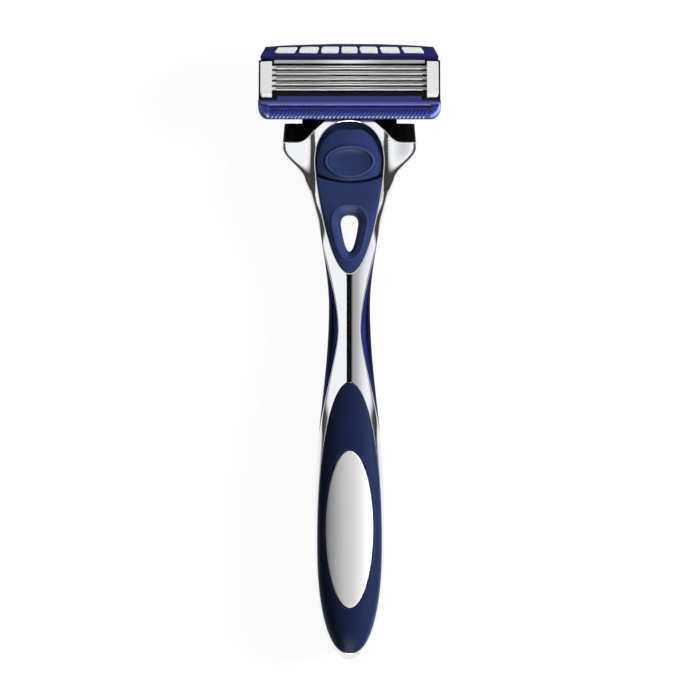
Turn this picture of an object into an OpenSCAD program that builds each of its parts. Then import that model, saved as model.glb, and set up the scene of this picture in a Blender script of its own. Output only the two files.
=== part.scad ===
// Cartridge razor lying on its back: metal-fronted handle, sprung pivoting head, five blades
// and a flip-back reservoir. +X is right, +Y points to the head, +Z to the shaving side.
// Handle pieces are drawn in [x, h, z], where h is the distance from the tail.
// Head pieces are drawn in [u, v, w]: u across, v from guard to cap, w out of the shaving face.

/* [Handle] */
// Length from the tail to the top of the arch
handle_l = 124.6; // [118:0.1:132]
// Greatest width of the grip
grip_w = 15.9; // [14.5:0.1:18]
// Distance from the tail to the widest place
grip_h = 36.4; // [32:0.1:40]
// Length of the rounded tail
tail_l = 25; // [20:0.5:30]
// Width of the waist
waist_w = 9.5; // [8.6:0.1:11]
// Distance from the arch back to the waist
waist_back = 42.9; // [40:0.1:46]
// Width where the shoulders begin
neck_w = 20.4; // [19:0.1:22]
// Width across the shoulders
shoulder_w = 31; // [29:0.1:34]
// Distance from the arch back to the shoulder ends
shoulder_back = 5.2; // [4.4:0.1:6]
// Mid-line to the front of the grip and head
front_t = 6.5; // [6:0.1:7.5]
// Mid-line to the back of the grip and head
back_t = 6.8; // [6.4:0.1:7.5]
// Mid-line to the front and to the back of the waist
waist_t = 4.3; // [3.6:0.1:5]
// Thickness of the shoulders on each side of the mid-line
wing_t = 3.5; // [3:0.1:4.2]
// Half width of the metal strip between the side crescents
crescent_w = 2.7; // [2:0.1:3.5]

/* [Front inlay and plate] */
// Width of the front inlay
inlay_w = 14.8; // [13:0.1:15.2]
// Distance from the tail to the foot of the inlay
inlay_foot = 1.75; // [1.2:0.05:4]
// Length of the inlay
inlay_l = 62.3; // [54:0.1:64]
// Distance from the foot of the inlay to its widest place
inlay_widest = 26; // [22:0.5:32]
// Depth of the inlay pocket
inlay_t = 1.1; // [0.8:0.1:1.6]
// Width of the oval plate
plate_w = 11; // [9:0.1:12]
// Length of the oval plate
plate_l = 36.2; // [30:0.2:40]

/* [Thumb panel and button] */
// Width of the thumb panel
thumb_w = 15.8; // [14.5:0.1:16.4]
// Length of the thumb panel
thumb_l = 34.9; // [33:0.1:36]
// Forward travel of the release button
button_travel = 1.4; // [1:0.1:1.8]
// Height of the button crown above its floor
button_t = 2.0; // [1.7:0.1:2.4]
// Width of the hole in the neck
hole_w = 4; // [3.4:0.1:5]
// Length of the hole in the neck
hole_l = 8.5; // [7:0.1:9.5]
// Slope round the hole, measured outwards
hole_bevel = 2.05; // [1.4:0.05:2.2]

/* [Head joint] */
// Lean of the shaving face towards the cap at rest
rest_tilt = 22; // [18:1:28]
// Angle through which the head can be pushed back
pivot_range = 40; // [30:1:44]
// Distance from the arch forward to the pivot
pivot_fwd = 3.5; // [3.2:0.1:4.5]
// Height of the pivot above the table
pivot_z = 10.8; // [10.4:0.1:11.5]
// Radius of the pivot pins
pivot_r = 0.9; // [0.7:0.05:1.1]
// Plunger line below the pivot: lever arm of the return cam
cam_arm = 3.4; // [3:0.1:3.6]
// Distance between the outer faces of the two arms
yoke_w = 21.8; // [20:0.2:22.4]

/* [Cartridge] */
// Width of the guard, the widest piece of the head
cartridge_w = 42; // [40:0.2:46]
// Depth of the guard from nose to blades
guard_v = 4.8; // [4.4:0.05:5.2]
// Number of blades
blade_count = 5; // [3:1:5]
// Distance from one blade edge to the next
blade_pitch = 1.34; // [1.25:0.01:1.5]
// Length of the cutting edge
blade_l = 33.6; // [31:0.2:34.4]
// Slope of the blades to the shaving face
blade_slope = 24; // [20:1:27]
// Depth of the reservoir tray
tray_v = 3.9; // [3.4:0.1:4.6]
// Distance from one guard fin to the next
fin_pitch = 0.89; // [0.8:0.01:1.2]

/* [Hidden] */

// Clearances: fixed nests, sliding pieces, pins in bores
fit = 0.05;
slide = 0.15;
bore_gap = 0.05;
// Overlap of cutters past the faces they open
past = 1;

// Handle stations and heights
belly = 0.3;
mid_z = back_t - belly;
lip = 0.5;
split_z = mid_z - lip;
waist_h = handle_l - waist_back;
shoulder_h = handle_l - shoulder_back;
flare_l = 8.9;
flare_h = shoulder_h - flare_l;
shoulder_end = 0.9;
head_back = 12.6;
head_h = handle_l - head_back;
tail_round = 10;
wing_l = 16;
wing_over = 3.5;
wing_h1 = flare_h + wing_over;
wing_h0 = wing_h1 - wing_l;
front_power = 2.2;
back_power = 2.6;
neck_power = 1.7;
wing_flat = 1.6;
hump_rim = 0.3;
hump_l = 2.6;
hump_power = 1.25;
arch_round = 2.2;
arch_drop = 0.25;
arch_top_w = 11.2;

// Thumb panel: widest place, foot, and the arc that parts the button from the panel
thumb_rim = 0.55;
thumb_top = handle_l - thumb_rim;
thumb_crown = 9.65;
thumb_mid = thumb_top - thumb_crown;
thumb_foot = thumb_top - thumb_l;
pocket_up = 3.5;
pocket_z = mid_z + pocket_up;
crown_up = 0.4;
floor_z = front_t + mid_z - button_t + crown_up;
button_arc_r = 19.6;
button_foot = 4;
button_arc_h = thumb_mid - button_foot + button_arc_r;
groove = 0.55;

// Hole in the neck: top, widest place, middle
hole_up = 13.5;
hole_crown = 2.15;
hole_top = thumb_foot + hole_up;
hole_mid = hole_top - hole_crown;
hole_c = hole_top - hole_l / 2;

// Carrier, plunger and connector
core_up = 2.4;
core_down = 4.1;
carrier_top = mid_z + core_up;
carrier_foot = mid_z - core_down;
spring_room_w = 11;
bay_room_w = 18;
core_wall = 0.7;
plunger_z = pivot_z - cam_arm;
plunger_t = 2.4;
plunger_w = 6.8;
rod_r = 1.1;
rod_l = 4.6;
pivot_h = handle_l + pivot_fwd;
cam_start = 1;
cam_w = 6;
cam_travel = cam_arm * pivot_range * PI / 180;
plunger_tip = pivot_h - cam_start - bore_gap;
arch_over = 0.9;
block_end = handle_l - arch_over;
block_in = 0.1;
block_r = 2.4;
block_drop = 0.5;
bay_l = 5.9;
bay_h = shoulder_h - bay_l;
tongue_gap = 2.9;
tongue_h = bay_h + tongue_gap;
plunger_back = bay_h + cam_travel + fit;
spring_bore = 8.1;
spring_h0 = bay_h - spring_bore;
spring_h1 = plunger_back - rod_l;
tongue_w = 14.6;
bay_down = 2.05;
bay_z = mid_z - bay_down;
yoke_drop = 1.2;
yoke_foot = bay_z - yoke_drop;
yoke_back = shoulder_h + 2 * slide;
arm_w = 7.2;
arm_r = 1.4;
leg_w = 1.8;
leg_side = 1;
leg_x = plunger_w / 2 + leg_side;
leg_t = 1.2;
leg_gap = 0.03;
leg_h = tongue_h - button_travel - leg_gap - leg_t;

// Cartridge: rows along v, heights along w
pivot_v = 4.9;
pivot_w = -4.9;
floor_w = -2.2;
floor_t = 1;
back_w = floor_w - floor_t;
face_w = -0.15;
weld = 0.1;
frame_side = 0.15;
frame_w = cartridge_w - 2 * frame_side;
bar_v = 1.05;
edge_gap = 0.35;
edge_v = guard_v + bar_v + edge_gap;
leg_back = 1.06;
sheet = 0.28;
blade_t = 0.12;
last_v = edge_v + (blade_count - 1) * blade_pitch;
cap_gap = 0.43;
cap_v = last_v + leg_back + cap_gap;
cap_l = 1.2;
cap_t = 0.5;
cap_end = cap_v + cap_l;
tray_gap = 0.15;
tray_v0 = cap_end + tray_gap;
tray_end = tray_v0 + tray_v;
tray_top = -0.3;
tray_lip = 0.55;
support_end = 1.4;
support_l = blade_l + 2 * support_end;
wall_x = support_l / 2 + 2 * fit;
clip_lap = 0.4;
clip_x0 = support_l / 2 - clip_lap;
clip_side = 0.25;
clip_x1 = frame_w / 2 - clip_side;
clip_t = 0.3;
clip_v0 = guard_v - 0.4;
clip_v1 = cap_v + 0.6;
notch_v = guard_v - 1.05;
notch_x = clip_x0 - 1.2;
hinge_in = 0.55;
hinge_v = tray_v0 + hinge_in;
hinge_w = -3.8;
hinge_r = 0.5;
ear_r = 1;
ear_in = 4.3;
ear_w = 1.6;
ear_l = 2.2;
ear_x0 = wall_x - ear_in;
ear_x1 = ear_x0 + ear_w;
yoke_ear_r = 1.6;
yoke_ear_w = 2;
yoke_ear_gap = 0.4;
yoke_ear_x = yoke_w / 2 + yoke_ear_gap;
overall_l = pivot_h + (tray_end - pivot_v) * cos(rest_tilt)
  + (tray_top - tray_lip - pivot_w) * sin(rest_tilt);

// Smooth step from 0 to 1, and a half superellipse from 1 to 0
function blend(t) = (1 - cos(180 * min(1, max(0, t)))) / 2;
function oval(t, p) = pow(max(0, 1 - pow(min(1, abs(t)), p)), 1 / p);

// Half width of the handle at h
function half_w(h) = h < tail_l
  ? grip_w / 2 * oval((tail_l - h) / tail_l, 2)
  : h < waist_h
  ? grip_w / 2 + (waist_w - grip_w) / 2 * blend((h - grip_h) / (waist_h - grip_h))
  : waist_w / 2
    + (neck_w - waist_w) / 2 * pow((min(h, flare_h) - waist_h) / (flare_h - waist_h), neck_power)
    + (shoulder_w - neck_w) / 2 * blend((h - flare_h) / (flare_l - shoulder_end));

// Thickness from the mid-line at h, for a side that is t thick at the grip and head
function slimmed(h) = blend((h - grip_h) / (waist_h - grip_h)) - blend((h - waist_h) / (head_h - waist_h));
function side_t(h, t) = oval(max(0, tail_round - h) / tail_round, 2) * (t + (waist_t - t) * slimmed(h));
function arch_t(h) = side_t(h, front_t) - arch_drop * pow(max(0, h - handle_l + arch_round) / arch_round, 2);
function winged(h) = blend((h - wing_h0) / wing_l);
function wing_at(h, t) = t + (wing_t - t) * winged(h);
function hump(x, h) = let (d = max(0, abs(x) - thumb_half(min(h, thumb_mid)) - hump_rim))
  exp(-pow(d / hump_l, hump_power));

// Half widths of the thumb panel, the button, the hole and the inlay at h
function tongue(t, p) = sqrt(max(0, 1 - pow(min(1, max(0, t)), p)));
function thumb_half(h) = thumb_w / 2 * (h > thumb_mid
  ? oval((h - thumb_mid) / thumb_crown, 2.3)
  : tongue((thumb_mid - h) / (thumb_mid - thumb_foot), 1.25));
function hole_half(h) = hole_w / 2 * (h > hole_mid
  ? oval((h - hole_mid) / hole_crown, 2.6)
  : tongue((hole_mid - h) / (hole_l - hole_crown), 1.1));
function button_half(h) = min(thumb_half(h), thumb_half(h + button_travel)) - 2 * fit;
function button_arc(x, r) = button_arc_h - sqrt(r * r - x * x);
function inlay_half(h) = let (up = h - inlay_foot - inlay_widest)
  inlay_w / 2 * (up > 0 ? oval(up / (inlay_l - inlay_widest), 2.03) : oval(up / inlay_widest, 2.35));

// One cross section of the handle, inset by d; with_back false closes it flat behind the front
function section(h, d, with_back) =
  let (least = 0.05, w = max(least, half_w(h) - d))
  let (f = max(least, arch_t(h) - d), b = max(least, side_t(h, back_t) - d))
  let (wf = min(f, wing_at(h, f)), wb = min(b, wing_at(h, b)))
  concat(
    [for (a = [0:180 / 22:180]) let (x = w * cos(a))
      [x, h, mid_z + wf * oval(x / w, front_power + wing_flat * winged(h)) + (f - wf) * hump(x, h)]],
    with_back
    ? [for (a = [180 / 14:180 / 14:179]) let (x = -w * cos(a))
      [x, h, mid_z - wb * oval(x / w, back_power) - (b - wb) * hump(x, h)]]
    : [[-w, h, mid_z - past], [w, h, mid_z - past]]);

// Solid through the sections at the stations hs
module loft(hs, d = 0, with_back = true) {
  rings = [for (h = hs) section(h, d, with_back)];
  n = len(rings[0]);
  m = len(hs);
  polyhedron(
    [for (r = rings) each r],
    concat(
      [[for (i = [n - 1:-1:0]) i], [for (i = [0:n - 1]) (m - 1) * n + i]],
      [for (j = [0:m - 2], i = [0:n - 1]) let (k = (i + 1) % n)
        each [[j * n + i, (j + 1) * n + k, (j + 1) * n + i], [j * n + i, j * n + k, (j + 1) * n + k]]]));
}

// Stations of the lofts
handle_hs = concat(
  [for (a = [6:12:78]) tail_l * (1 - cos(a))],
  [for (i = [0:11]) tail_l + (wing_h0 - tail_l) * i / 12],
  [for (i = [0:3]) wing_h0 + (flare_h - wing_h0) * i / 4],
  [for (i = [0:7]) flare_h + (shoulder_h - flare_h) * i / 8],
  [shoulder_h, handle_l - arch_round, handle_l - arch_round / 2, handle_l]);
inlay_over = 0.6;
inlay_hs = [for (i = [0:16]) inlay_foot - inlay_over + (inlay_l + 2 * inlay_over) * i / 16];
plate_up = 28.6;
plate_mid = inlay_foot + plate_up;
plate_hs = [for (i = [0:8]) plate_mid + (plate_l + 2 * past) * (i / 8 - 0.5)];
thumb_hs = [for (i = [0:9]) thumb_foot - past + (thumb_mid + 2 * past - thumb_foot) * i / 9];

// Places handle pieces in the frame, and extrudes a plan [x, h] or a side profile
module along() {
  translate([0, -overall_l / 2, 0]) children();
}
module plan(z0, z1, pts) {
  translate([0, 0, z0]) linear_extrude(z1 - z0) polygon(pts);
}
module bar(x0, x1, pts) {
  translate([x0, 0, 0]) rotate([90, 0, 90]) linear_extrude(x1 - x0) polygon(pts);
}
module block(x0, x1, y0, y1, z0, z1) {
  translate([x0, y0, z0]) cube([x1 - x0, y1 - y0, z1 - z0]);
}
module both() {
  children();
  mirror([1, 0, 0]) children();
}
// Closed outline from its right half; stations close up at both ends
function mirrored(pts) = concat(pts,
  [for (i = [len(pts) - 1:-1:0]) if (abs(pts[i][0]) > 0.001) [-pts[i][0], pts[i][1]]]);
function stations(h0, h1, n) = [for (i = [0:n]) (h0 + h1) / 2 - (h1 - h0) / 2 * cos(180 * i / n)];

// Plan outlines
top_z = mid_z + front_t + 3 * past;
out_x = shoulder_w / 2 + past;
arch_foot = arch_top_w / 2 + shoulder_back;
arch_fillet = 3.4;
arch_corner = 2;
crest_back = 5.3;
crest_h = waist_h - crest_back;
crescent_down = 26.4;
crescent_up = 18.6;
crescent_h0 = crest_h - crescent_down;
crescent_h1 = crest_h + crescent_up;
function crescent_slope(d) = d > 0 ? 0.3 : 0.362 + 0.0038 * d;
function crescent(h) = let (d = h - crest_h) sqrt(pow(crescent_w, 2) + pow(crescent_slope(d) * d, 2));
// Front metal: open at the tail, waisted between the crescents, arched at the head
function metal_plan(d) = mirrored(concat(
  [[out_x, -past], [out_x, crescent_h0]],
  [for (i = [0:16]) let (h = crescent_h0 + (crescent_h1 - crescent_h0) * i / 16) [crescent(h) + d, h]],
  [[out_x, crescent_h1], [out_x, shoulder_h]],
  [for (a = [270:-15:225])
    [arch_foot + arch_fillet * (tan(22.5) + cos(a)), shoulder_h + arch_fillet * (1 + sin(a))]],
  [for (a = [45:15:90])
    [arch_top_w / 2 + arch_corner * (cos(a) - tan(22.5)), handle_l + arch_corner * (sin(a) - 1)]]));
inlay_h1 = inlay_foot + inlay_l;
function inlay_plan(d) = mirrored(
  [for (h = stations(inlay_foot + d, inlay_h1 - d, 22)) [max(0, inlay_half(h) - d), h]]);
function plate_plan(d) =
  [for (a = [0:7.5:359]) [(plate_w / 2 - d) * cos(a), plate_mid + (plate_l / 2 - d) * sin(a)]];
function thumb_plan(d) = mirrored(
  [for (h = stations(thumb_foot + d, thumb_top - d, 26)) [max(0, thumb_half(h) - d), h]]);
// Bay above the parting arc, with radius r
bay_x = thumb_w / 2 + past;
function bay_plan(r) = concat(
  [for (i = [-9:9]) [bay_x * i / 9, button_arc(bay_x * i / 9, r)]],
  [[bay_x, handle_l + past], [-bay_x, handle_l + past]]);
button_top = thumb_top - button_travel - 2 * fit;
button_x = button_half(button_arc(thumb_w / 2, button_arc_r));
button_h0 = button_arc(button_x, button_arc_r);
button_pts = mirrored(concat(
  [for (i = [0:6]) [button_x * i / 6, button_arc(button_x * i / 6, button_arc_r)]],
  [for (i = [1:14]) let (h = button_h0 + (button_top - button_h0) * sin(90 * i / 14))
    [max(0, button_half(h)), h]]));

// Drop-shaped hole through the neck, grown by g0 at z0 and by g1 at z1
hole_pts = mirrored([for (h = stations(hole_top - hole_l, hole_top, 20)) [hole_half(h), h]]);
function grown(g) = [for (p = hole_pts)
  [p[0] * (1 + 2 * g / hole_w), hole_c + (p[1] - hole_c) * (1 + 2 * g / hole_l)]];
module hole(z0, z1, g0, g1) {
  n = len(hole_pts);
  polyhedron(
    concat([for (p = grown(g0)) [p[0], p[1], z0]], [for (p = grown(g1)) [p[0], p[1], z1]]),
    concat(
      [[for (i = [0:n - 1]) i], [for (i = [n - 1:-1:0]) n + i]],
      [for (i = [0:n - 1]) let (k = (i + 1) % n) each [[i, n + i, n + k], [i, n + k, k]]]));
}

// Room for the carrier inside the handle, grown by g
module carrier_room(g) {
  half = [spring_room_w / 2 + g, bay_room_w / 2 + g];
  block(-half[0], half[0], spring_h0 - core_wall - g, bay_h, carrier_foot - g, carrier_top + g);
  block(-half[1], half[1], bay_h - core_wall - g, shoulder_h + past, carrier_foot - g, carrier_top + g);
}
module leg_slots(z0, z1) {
  both() block(leg_x - slide, leg_x + leg_w + slide, leg_h - slide, tongue_h + slide, z0, z1);
}

// Cast and plated front of the handle: forked head, waisted strip, rim round the inlay
module handle_shell() {
  color("silver") along() difference() {
    intersection() {
      loft(handle_hs);
      plan(split_z, top_z, metal_plan(0));
    }
    block(-shoulder_w, shoulder_w, shoulder_h, handle_l + past, 0, carrier_top + fit);
    carrier_room(fit);
    difference() {
      plan(mid_z, top_z, inlay_plan(0));
      loft(inlay_hs, inlay_t, false);
    }
    plan(pocket_z, top_z, thumb_plan(0));
    leg_slots(carrier_top - past, pocket_z + past);
    hole(-past, top_z, 0, 0);
  }
}

// Cross grooves of the back
rib_count = 9;
rib_from = 17;
rib_pitch = 4;
rib_depth = 0.55;
rib_r = 2;
// Moulded elastomer back, seen from the front as a crescent on each side of the waist
module rear_grip() {
  color("navy") along() difference() {
    intersection() {
      loft(handle_hs);
      block(-shoulder_w, shoulder_w, 0, shoulder_h, 0, top_z);
    }
    plan(split_z, top_z, metal_plan(fit));
    carrier_room(fit);
    hole(-past, top_z, 0, 0);
    for (i = [0:rib_count - 1])
      translate([0, rib_from + rib_pitch * i, rib_depth - rib_r])
        rotate([0, 90, 0]) cylinder(r = rib_r, h = shoulder_w, center = true, $fn = 32);
  }
}

// Elastomer inlay of the front grip, with a seat for the plate
inlay_proud = 0.15;
plate_proud = 0.3;
seat_t = inlay_t / 3;
module front_grip() {
  color("navy") along() difference() {
    intersection() {
      loft(inlay_hs, -inlay_proud, false);
      plan(mid_z, top_z, inlay_plan(fit));
    }
    loft(inlay_hs, inlay_t, false);
    difference() {
      plan(mid_z, top_z, plate_plan(0));
      loft(plate_hs, seat_t, false);
    }
  }
}

// Bare oval metal plate set in the inlay
module badge_plate() {
  color("silver") along() difference() {
    intersection() {
      loft(plate_hs, -plate_proud, false);
      plan(mid_z, top_z, plate_plan(fit));
    }
    loft(plate_hs, seat_t, false);
  }
}

// Thumb panel: pad below the button, floor under it, bevelled hole through the neck
thumb_sunk = 0.1;
channel_x = 0.75;
channel_z = pocket_z + 0.25;
bevel_z0 = pocket_z + 0.9;
bevel_z1 = pocket_z + 2.4;
module thumb_rest() {
  color("navy") along() difference() {
    union() {
      intersection() {
        loft(thumb_hs, thumb_sunk, false);
        plan(pocket_z, top_z, thumb_plan(fit));
      }
      intersection() {
        plan(pocket_z, floor_z, thumb_plan(fit));
        block(-thumb_w, thumb_w, thumb_mid - past, handle_l, pocket_z, floor_z);
      }
    }
    plan(floor_z, top_z, bay_plan(button_arc_r + groove));
    leg_slots(pocket_z - past, top_z);
    block(-channel_x, channel_x, post_h - slide, button_spring_h1, channel_z, top_z);
    hole(0, top_z, 0, 0);
    hole(bevel_z0, bevel_z1, 0, hole_bevel);
  }
}

// Black head core held in the metal fork: side blocks, connector bay, plunger bore
module head_carrier() {
  block_x = shoulder_w / 2 - block_in - block_r;
  block_z = [carrier_foot - block_drop, carrier_top];
  color("#151515") along() difference() {
    union() {
      carrier_room(0);
      translate([0, block_end, 0]) rotate([90, 0, 0]) linear_extrude(block_end - shoulder_h - fit)
        polygon(mirrored(concat(
          [[0, block_z[0]]],
          [for (a = [-90:15:0]) [block_x + block_r * cos(a), block_z[0] + block_r * (1 + sin(a))]],
          [for (a = [0:15:90]) [block_x + block_r * cos(a), block_z[1] + block_r * (sin(a) - 1)]],
          [[0, block_z[1]]])));
    }
    block(-tongue_w / 2 - slide, tongue_w / 2 + slide, bay_h, block_end, bay_z, top_z);
    block(-yoke_w / 2 - slide, yoke_w / 2 + slide, shoulder_h, block_end + past, yoke_foot, top_z);
    translate([0, spring_h0, plunger_z]) rotate([-90, 0, 0])
      cylinder(r = rod_r + bore_gap, h = bay_h - spring_h0 + past, $fn = 48);
  }
}

// Release button: crowned and dished, with two legs down to the connector
module release_button() {
  crown_r = 24;
  dish_d = 0.65;
  dish_x = 21.6;
  dish_y = 7.8;
  dish_h = thumb_mid + 0.8;
  post_x = 0.6;
  post_z = [pocket_z + 0.4, floor_z + 0.5];
  color("navy") along() difference() {
    union() {
      intersection() {
        plan(floor_z + slide, floor_z + button_t, button_pts);
        translate([0, thumb_mid, floor_z + button_t - crown_r]) rotate([90, 0, 0])
          cylinder(r = crown_r, h = 2 * thumb_l, center = true, $fn = 96);
      }
      both() block(leg_x, leg_x + leg_w, leg_h, leg_h + leg_t, bay_z + slide, floor_z + past);
      block(-post_x, post_x, post_h, button_spring_h0 - fit, post_z[0], post_z[1]);
    }
    translate([0, dish_h, floor_z + button_t - dish_d + dish_x]) rotate([90, 0, 0])
      rotate_extrude($fn = 96) translate([dish_x - dish_y, 0]) circle(r = dish_y, $fn = 64);
  }
}

// Coil along +Y from the origin: mean radius r, wire diameter t
module coil(r, t, l, turns) {
  n = 5;
  m = turns * 10;
  pts = [for (j = [0:m], i = [0:n - 1])
    let (a = 36 * j, b = 360 * i / n, q = r + t / 2 * cos(b))
    [q * cos(a), t / 2 + (l - t) * j / m + t / 2 * sin(b), q * sin(a)]];
  polyhedron(pts, concat(
    [[for (i = [0:n - 1]) i], [for (i = [n - 1:-1:0]) m * n + i]],
    [for (j = [0:m - 1], i = [0:n - 1]) let (k = (i + 1) % n)
      each [[j * n + i, (j + 1) * n + i, (j + 1) * n + k], [j * n + i, (j + 1) * n + k, j * n + k]]]));
}

// Return spring of the button, in the channel of the thumb panel's floor
button_spring_gap = 0.5;
button_spring_h0 = tongue_h + button_spring_gap;
button_spring_h1 = thumb_top - 2.4;
button_spring_z = pocket_z + 0.85;
post_t = 0.5;
post_h = button_spring_h0 - fit - post_t;
module button_spring() {
  color("gray") along() translate([0, button_spring_h0, button_spring_z])
    coil(0.42, 0.18, button_spring_h1 - button_spring_h0 - fit, 7);
}

// Plunger that holds the head up: flat tongue on a rod in the carrier's bore
module plunger() {
  half_t = plunger_t / 2;
  color("#303030") along() {
    block(-plunger_w / 2, plunger_w / 2, plunger_back, plunger_tip, plunger_z - half_t, plunger_z + half_t);
    translate([0, spring_h1, plunger_z]) rotate([-90, 0, 0])
      cylinder(r = rod_r, h = plunger_back - spring_h1, $fn = 48);
  }
}
module plunger_spring() {
  color("gray") along() translate([0, spring_h0 + fit, plunger_z])
    coil(0.88, 0.3, spring_h1 - spring_h0 - 2 * fit, 7);
}

// Pin, ear or bore across the razor: from x0 to x1, centred at [y, z]
module across(x0, x1, at, r) {
  translate([x0, at[0], at[1]]) rotate([0, 90, 0]) cylinder(r = r, h = x1 - x0, $fn = 48);
}

// Connector of the cartridge: tongue in the carrier's bay, two arms with the pivot pins
module interconnect() {
  arm_x0 = yoke_w / 2 - arm_w;
  arm_x1 = yoke_w / 2;
  pin_root = 0.5;
  lap = 0.5;
  heel = [block_end - 0.6, yoke_foot + slide];
  neck = [handle_l + slide, carrier_top - slide];
  root_h = 3;
  root_z = 1;
  root = [shoulder_h + root_h, bay_z + root_z];
  lean = atan2(pivot_z - root[1], pivot_h - root[0]);
  reach = arm_r * [sin(lean), -cos(lean)];
  pivot = [pivot_h, pivot_z];
  color("#151515") along() difference() {
    union() {
      block(-tongue_w / 2, tongue_w / 2, tongue_h, shoulder_h + lap, bay_z + slide, neck[1]);
      block(-arm_x1, arm_x1, yoke_back, block_end - 2 * slide, heel[1], neck[1]);
      both() bar(arm_x0, arm_x1,
        [[yoke_back, heel[1]], heel, pivot + reach, pivot - reach, neck, [yoke_back, neck[1]]]);
      both() across(arm_x0, arm_x1, pivot, arm_r);
      both() across(arm_x1 - pin_root, yoke_ear_x + yoke_ear_w - 2 * slide, pivot, pivot_r);
    }
    block(-plunger_w / 2 - slide, plunger_w / 2 + slide, tongue_h - past, block_end + past,
      plunger_z - plunger_t / 2 - slide, top_z);
  }
}

// Places head pieces: the shaving face leans by rest_tilt about the pivot
module on_head() {
  along() translate([0, pivot_h, pivot_z]) rotate([-rest_tilt, 0, 0])
    translate([0, -pivot_v, -pivot_w]) children();
}

// Involute of the lever arm's circle: the plunger moves in step with the head's angle
function cam_at(a) = let (s = cam_start + cam_arm * a * PI / 180)
  [cam_arm * sin(a) - s * cos(a), -s * sin(a) - cam_arm * cos(a)];
module cam() {
  cam_step = 4;
  spine = [[2.6, -1.4], [3.6, 0.9], [-cam_start, 2.4]];
  heel = [1.3, cam_at(pivot_range)[1] + 0.3];
  along() translate([0, pivot_h, pivot_z]) bar(-cam_w / 2, cam_w / 2,
    concat([for (a = [0:cam_step:pivot_range + cam_step]) cam_at(a)], [heel], spine));
}

// Black frame: floor with rinse slots, end walls, guard bar, cap ledge, ears for both hinges
floor_v0 = 2.2;
wall_end = 0.75;
notch_drop = 0.2;
spine_x = 4.2;
rinse_in = 1.6;
module cartridge_frame() {
  foot_w = floor_w - weld;
  side_x = frame_w / 2;
  ear_end = yoke_ear_x + yoke_ear_w;
  color("#101010") {
    on_head() difference() {
      union() {
        block(-side_x, side_x, floor_v0, cap_end, back_w, floor_w);
        both() block(wall_x, side_x, notch_v, cap_v + wall_end, foot_w, face_w);
        both() block(notch_x, side_x, notch_v, guard_v, foot_w, face_w - notch_drop);
        block(-wall_x, wall_x, guard_v + fit, guard_v + bar_v, foot_w, face_w);
        block(-wall_x, wall_x, cap_v - fit, cap_end, foot_w, face_w - cap_t);
        both() block(yoke_ear_x, ear_end,
          pivot_v - yoke_ear_r, pivot_v + yoke_ear_r, pivot_w, back_w + weld);
        both() across(yoke_ear_x, ear_end, [pivot_v, pivot_w], yoke_ear_r);
        both() block(ear_x0, ear_x1, hinge_v - ear_l, hinge_v, hinge_w - ear_r, hinge_w + ear_r);
        both() across(ear_x0, ear_x1, [hinge_v, hinge_w], ear_r);
      }
      both() across(yoke_ear_x - past, ear_end + past, [pivot_v, pivot_w], pivot_r + bore_gap);
      both() across(ear_x0 - past, ear_x1 + past, [hinge_v, hinge_w], hinge_r + bore_gap);
      both() for (v = [clip_v0, clip_v1 - clip_t])
        block(clip_x0 - fit, clip_x1 + fit, v - fit, v + clip_t + fit, back_w - past, past);
      for (i = [0:blade_count - 2])
        both() block(spine_x, wall_x - rinse_in, edge_v + i * blade_pitch + leg_back + fit,
          edge_v + (i + 1) * blade_pitch + leg_back - sheet - fit, back_w - past, floor_w + past);
    }
    cam();
  }
}

// Slope of the nose that carries the fins: foot and head of the bed, and its angle
nose_r = 0.7;
ledge = 0.3;
bed_foot = [0, back_w + nose_r];
bed_head = [1.9, face_w - ledge];
bed_l = norm(bed_head - bed_foot);
bed_a = atan2(bed_head[1] - bed_foot[1], bed_head[0] - bed_foot[0]);
bed_t = 0.4;
bed_in = [0.35, 0.25];
fin_t = 0.5;
fin_up = 0.3;
fin_lean = 1.1;
fin_side = 1.9;
fin_x = cartridge_w / 2 - fin_side;
module on_bed() {
  translate([0, bed_foot[0], bed_foot[1]]) rotate([bed_a, 0, 0]) children();
}
module fin_bed(g) {
  on_bed() block(-fin_x - g, fin_x + g, bed_in[0] - g, bed_l - bed_in[1] + g, -bed_t - g, g > 0 ? past : 0);
}

// Blue guard: rounded nose, groove and bead behind the fins, flat band, notches for the frame's corners
bead_up = 0.1;
module guard_frame() {
  corner_r = 2.1;
  corner_x = cartridge_w / 2 - corner_r;
  taper = 0.3;
  inner_v = floor_v0 - fit;
  bead_v = 2.65;
  color("#33337f") on_head() difference() {
    intersection() {
      bar(-cartridge_w / 2, cartridge_w / 2, concat(
        [for (a = [180:15:270]) [nose_r * (1 + cos(a)), back_w + nose_r * (1 + sin(a))]],
        [[inner_v, back_w], [inner_v, floor_w + fit], [guard_v, floor_w + fit], [guard_v, face_w]],
        [[bead_v + 0.4, face_w], [bead_v + 0.2, face_w + 0.7 * bead_up], [bead_v, face_w + bead_up],
         [bead_v - 0.2, face_w + 0.3 * bead_up], [bead_v - 0.4, face_w - 0.8 * ledge],
         [bead_v - 0.55, face_w - 1.3 * ledge]],
        [bed_head]));
      translate([0, 0, back_w - past]) linear_extrude(2 * past - back_w) polygon(mirrored(concat(
        [for (a = [-90:15:0]) [corner_x + corner_r * cos(a), corner_r * (1 + sin(a))]],
        [[cartridge_w / 2, notch_v], [cartridge_w / 2 - taper, guard_v]])));
    }
    both() block(notch_x - fit, cartridge_w, notch_v - fit, guard_v + past, floor_w - past, past);
    fin_bed(fit);
  }
}

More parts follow.
